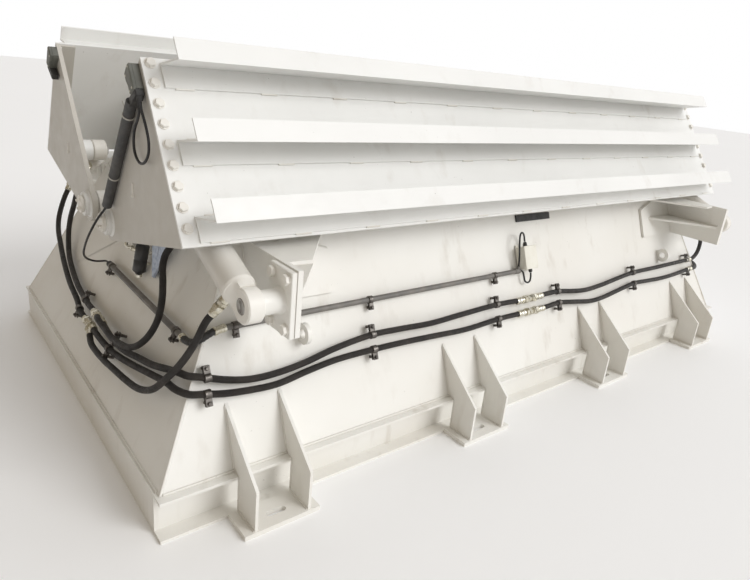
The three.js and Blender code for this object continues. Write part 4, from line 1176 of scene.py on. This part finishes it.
def sensor_block():
    """The black cable block under the housing, with the gland that both ends of the loop leave."""
    at = placed(on_skin(SENSOR_BACK - 0.003, 0.0, 0.0), out, down, -AXIS_X)
    gland = towards(LOOP_GLAND + AXIS_Z * 0.017, LOOP_GLAND)
    return prism([(n, s) for s, n in SENSOR_BLOCK][::-1], 0.0, 0.024, at, 0.0025).join(
        hexagon(0.0100, 0.0, 0.0100, gland, 0.0008, 0.2),
        turned(mm((0, 9), (9.4, 9), (9.4, 13), (8.8, 17), (0, 17)), gland, 24),
    )


def sensor_sleeve():
    """The corrugated sleeve down to the pivot, and the two cable ties round it."""
    low, high = (on_jaw_line(SLEEVE_X, *end) for end in SLEEVE_ENDS)
    ribs = 2 * math.pi / 0.0064
    sleeve = pipe(straight(low, high, 0.0016), lambda s: SLEEVE - 0.0007 * (1 - math.cos(ribs * s)) / 2, 22)
    run = (high - low).normalized()
    inward = Vector((0, -run.z, run.y))
    inner, outer, width = SLEEVE - 0.0004, SLEEVE + 0.0013, 0.0046
    band = [(inner, 0), (outer, 0), (outer, width), (inner, width)]
    ties = Shape()
    for share in (0.305, 0.875):
        middle = low.lerp(high, share)
        head = middle + inward * (SLEEVE + 0.001)
        tail = [head + (inward + Vector((-0.10, 0, 0.22))) * step for step in (0, 0.012, 0.024, 0.034)]
        ties.join(
            turned(band, towards(middle, middle + run), 28),
            block((-0.0030, -0.0040, -0.0034), (0.0030, 0.0040, 0.0034), 0.0006, Matrix.Translation(head)),
            pipe(tail, 0.0013, 6),
        )
    return sleeve, ties


def make_sensors():
    (head, screws), cable_block = sensor_head(), sensor_block()
    for name, sy in SIDES:
        body = f"{name}_jaw"
        case = piece(f"sensor_case_{name}", head.mirrored(1, sy), sensor_plastic, body, "sensor_plastic", 25)
        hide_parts(f"jaw_sensor_{name}")
        piece(f"sensor_screws_{name}", screws.mirrored(1, sy), zinc, body, "sensor_plastic")
        piece(f"sensor_block_{name}", cable_block.mirrored(1, sy), black_seal, body, "sensor_plastic")
    sleeve, ties = (shape.mirrored(1, -1) for shape in sensor_sleeve())
    piece("sensor_sleeve", sleeve, sleeve_plastic, "right_jaw", "sensor_plastic", 60)
    piece("sensor_ties", ties, tie_plastic, "right_jaw", "sensor_plastic")


sleeve_plastic = plastic("sleeve_plastic", (0.050, 0.050, 0.050), (0.085, 0.082, 0.078), 0.5, 500)
tie_plastic = plastic("tie_plastic", (0.55, 0.53, 0.48), (0.42, 0.40, 0.36), 0.45, 500)
make_sensors()

# ---------------- small parts on the walls


def pressure_switch():
    """A black switch on the near end wall, and its fitting with an elbow and two brackets."""
    top, bottom = Vector((-1.508, -0.200, 0.672)), Vector((-1.528, -0.200, 0.556))
    profile = mm((0, 0), (12.5, 0), (13.5, 4), (21.5, 9), (23.2, 12), (23.2, 50), (22.2, 52), (22.2, 56),
                 (23.2, 58), (23.2, 104), (20, 110), (10.5, 112), (10.5, 118), (0, 118))
    port = bottom.lerp(top, 0.74)
    way = Vector((-0.030, 0.026, 0.006))
    bend = ((0, 0, 0), (-0.012, 0.010, 0.006), (-0.010, 0.014, 0.024), (-0.002, 0.014, 0.046))
    elbow, _ = smooth_path([port + way + Vector(step) for step in bend], 0.002)
    stem = bottom - AXIS_Z * 0.012
    fitting = hose_end(port + way * 0.3, port + way, 0.012, 0.0085, 0.0115)
    fitting.join(pipe(elbow, 0.0060, 16), hexagon(0.0115, 0.0, 0.010, towards(stem, bottom), 0.001))
    for share in (0.28, 0.62):
        x, y, z = bottom.lerp(top, share)
        wall = 0.002 - end_x(z)
        fitting.join(block((x + 0.012, y - 0.006, z - 0.004), (wall, y + 0.006, z + 0.004), 0.0008))
    return turned(profile, towards(bottom, top), 40), fitting


def folded_guard():
    """A metal sheet in four folds that narrow towards the foot, on two straps; its bluish grey is painted
    shade with a painted sky reflection.
    """
    upper = mm((-1486, -226, 700), (-1500, -272, 706), (-1489, -312, 712), (-1502, -358, 720),
               (-1490, -404, 728))
    lower = mm((-1504.5, -279, 572), (-1510.5, -286, 570), (-1505.5, -292, 570), (-1511.5, -300, 571),
               (-1506, -307, 573))
    sections = []
    for edge in (lower, upper):
        front = [Vector(p) for p in edge]
        sections.append(front + [p + AXIS_X * 0.002 for p in reversed(front)])
    return Shape().add(*rings(sections)).join(
        block((-1.506, -0.300, 0.585), (-1.484, -0.286, 0.589), 0.0006),
        block((-1.490, -0.340, 0.706), (-1.428, -0.316, 0.711), 0.0008),
    )


def wall_bumper():
    """A flat black pad high on the right side wall."""
    corners = mm((752, 0.5), (752, 7), (780, 7), (780, 0.5))
    face = [(side_y(z, off), z) for z, off in corners]
    return Shape().add(*rings([[Vector((x, -y, z)) for y, z in face] for x in (0.222, -0.020)]))


def make_near_end_parts():
    switch, fitting = pressure_switch()
    piece("pressure_switch", switch, switch_plastic, "base", "sensor_plastic")
    piece("pressure_switch_fitting", fitting, zinc, "base")
    # The folded sheet's bluish grey metal is painted shade and painted sky reflection.
    piece("folded_guard", folded_guard(), sheet_metal_painted_shade, "base", sharp=20)
    piece("wall_bumper", wall_bumper(), black_seal, "base", "sensor_plastic")


make_near_end_parts()

# ---------------- stage

NEAR_END_SKY, FRONT_SKY = (0.31, 0.265, 0.205), (0.92, 0.92, 0.93)
SUN_WAY, SUN_STRENGTH, SUN_SPREAD = (0.42, -0.74, 0.53), 1.5, 30


def make_stage():
    """A pale floor, and a sky that is dim and warm off the near end and bright off the far end."""
    floor = bpy.data.meshes.new("floor")
    reach = 30.0
    floor.from_pydata([(-reach, -reach, 0), (reach, -reach, 0), (reach, reach, 0), (-reach, reach, 0)], [],
                      [(0, 1, 2, 3)])
    look = Look("floor_paint", 0.6)
    floor.materials.append(look.done(look.mixed(look.noise(0.4, 3), (0.96, 0.96, 0.96), (0.94, 0.94, 0.94))))
    plane = bpy.data.objects.new("floor", floor)
    bpy.context.scene.collection.objects.link(plane)
    world = bpy.data.worlds.new("studio")
    bpy.context.scene.world = world
    world.use_nodes = True
    tree = world.node_tree
    way = add_node(tree, "TexCoord", "Generated", {})
    x = add_node(tree, "SeparateXYZ", "X", {"Vector": way})
    across = add_node(tree, "MapRange", "Result", {"Value": x, "From Min": -0.45, "From Max": 0.25})
    room = mix_colours(tree, across, NEAR_END_SKY, FRONT_SKY)
    seen = add_node(tree, "LightPath", "Is Camera Ray", {})
    backdrop = mix_colours(tree, seen, room, (1.0, 1.0, 1.0))
    tree.links.new(backdrop, tree.nodes["Background"].inputs["Color"])


def soft_sun(way, strength, spread):
    """A distant lamp behind a wide diffuser.  way points from the gate to the lamp."""
    data = bpy.data.lights.new("key", "SUN")
    data.energy, data.angle = strength, math.radians(spread)
    light = bpy.data.objects.new("key", data)
    light.matrix_world = Vector(way).to_track_quat("Z", "Y").to_matrix().to_4x4()
    bpy.context.scene.collection.objects.link(light)


make_stage()
soft_sun(SUN_WAY, SUN_STRENGTH, SUN_SPREAD)
bpy.context.scene.view_settings.view_transform = "Standard"
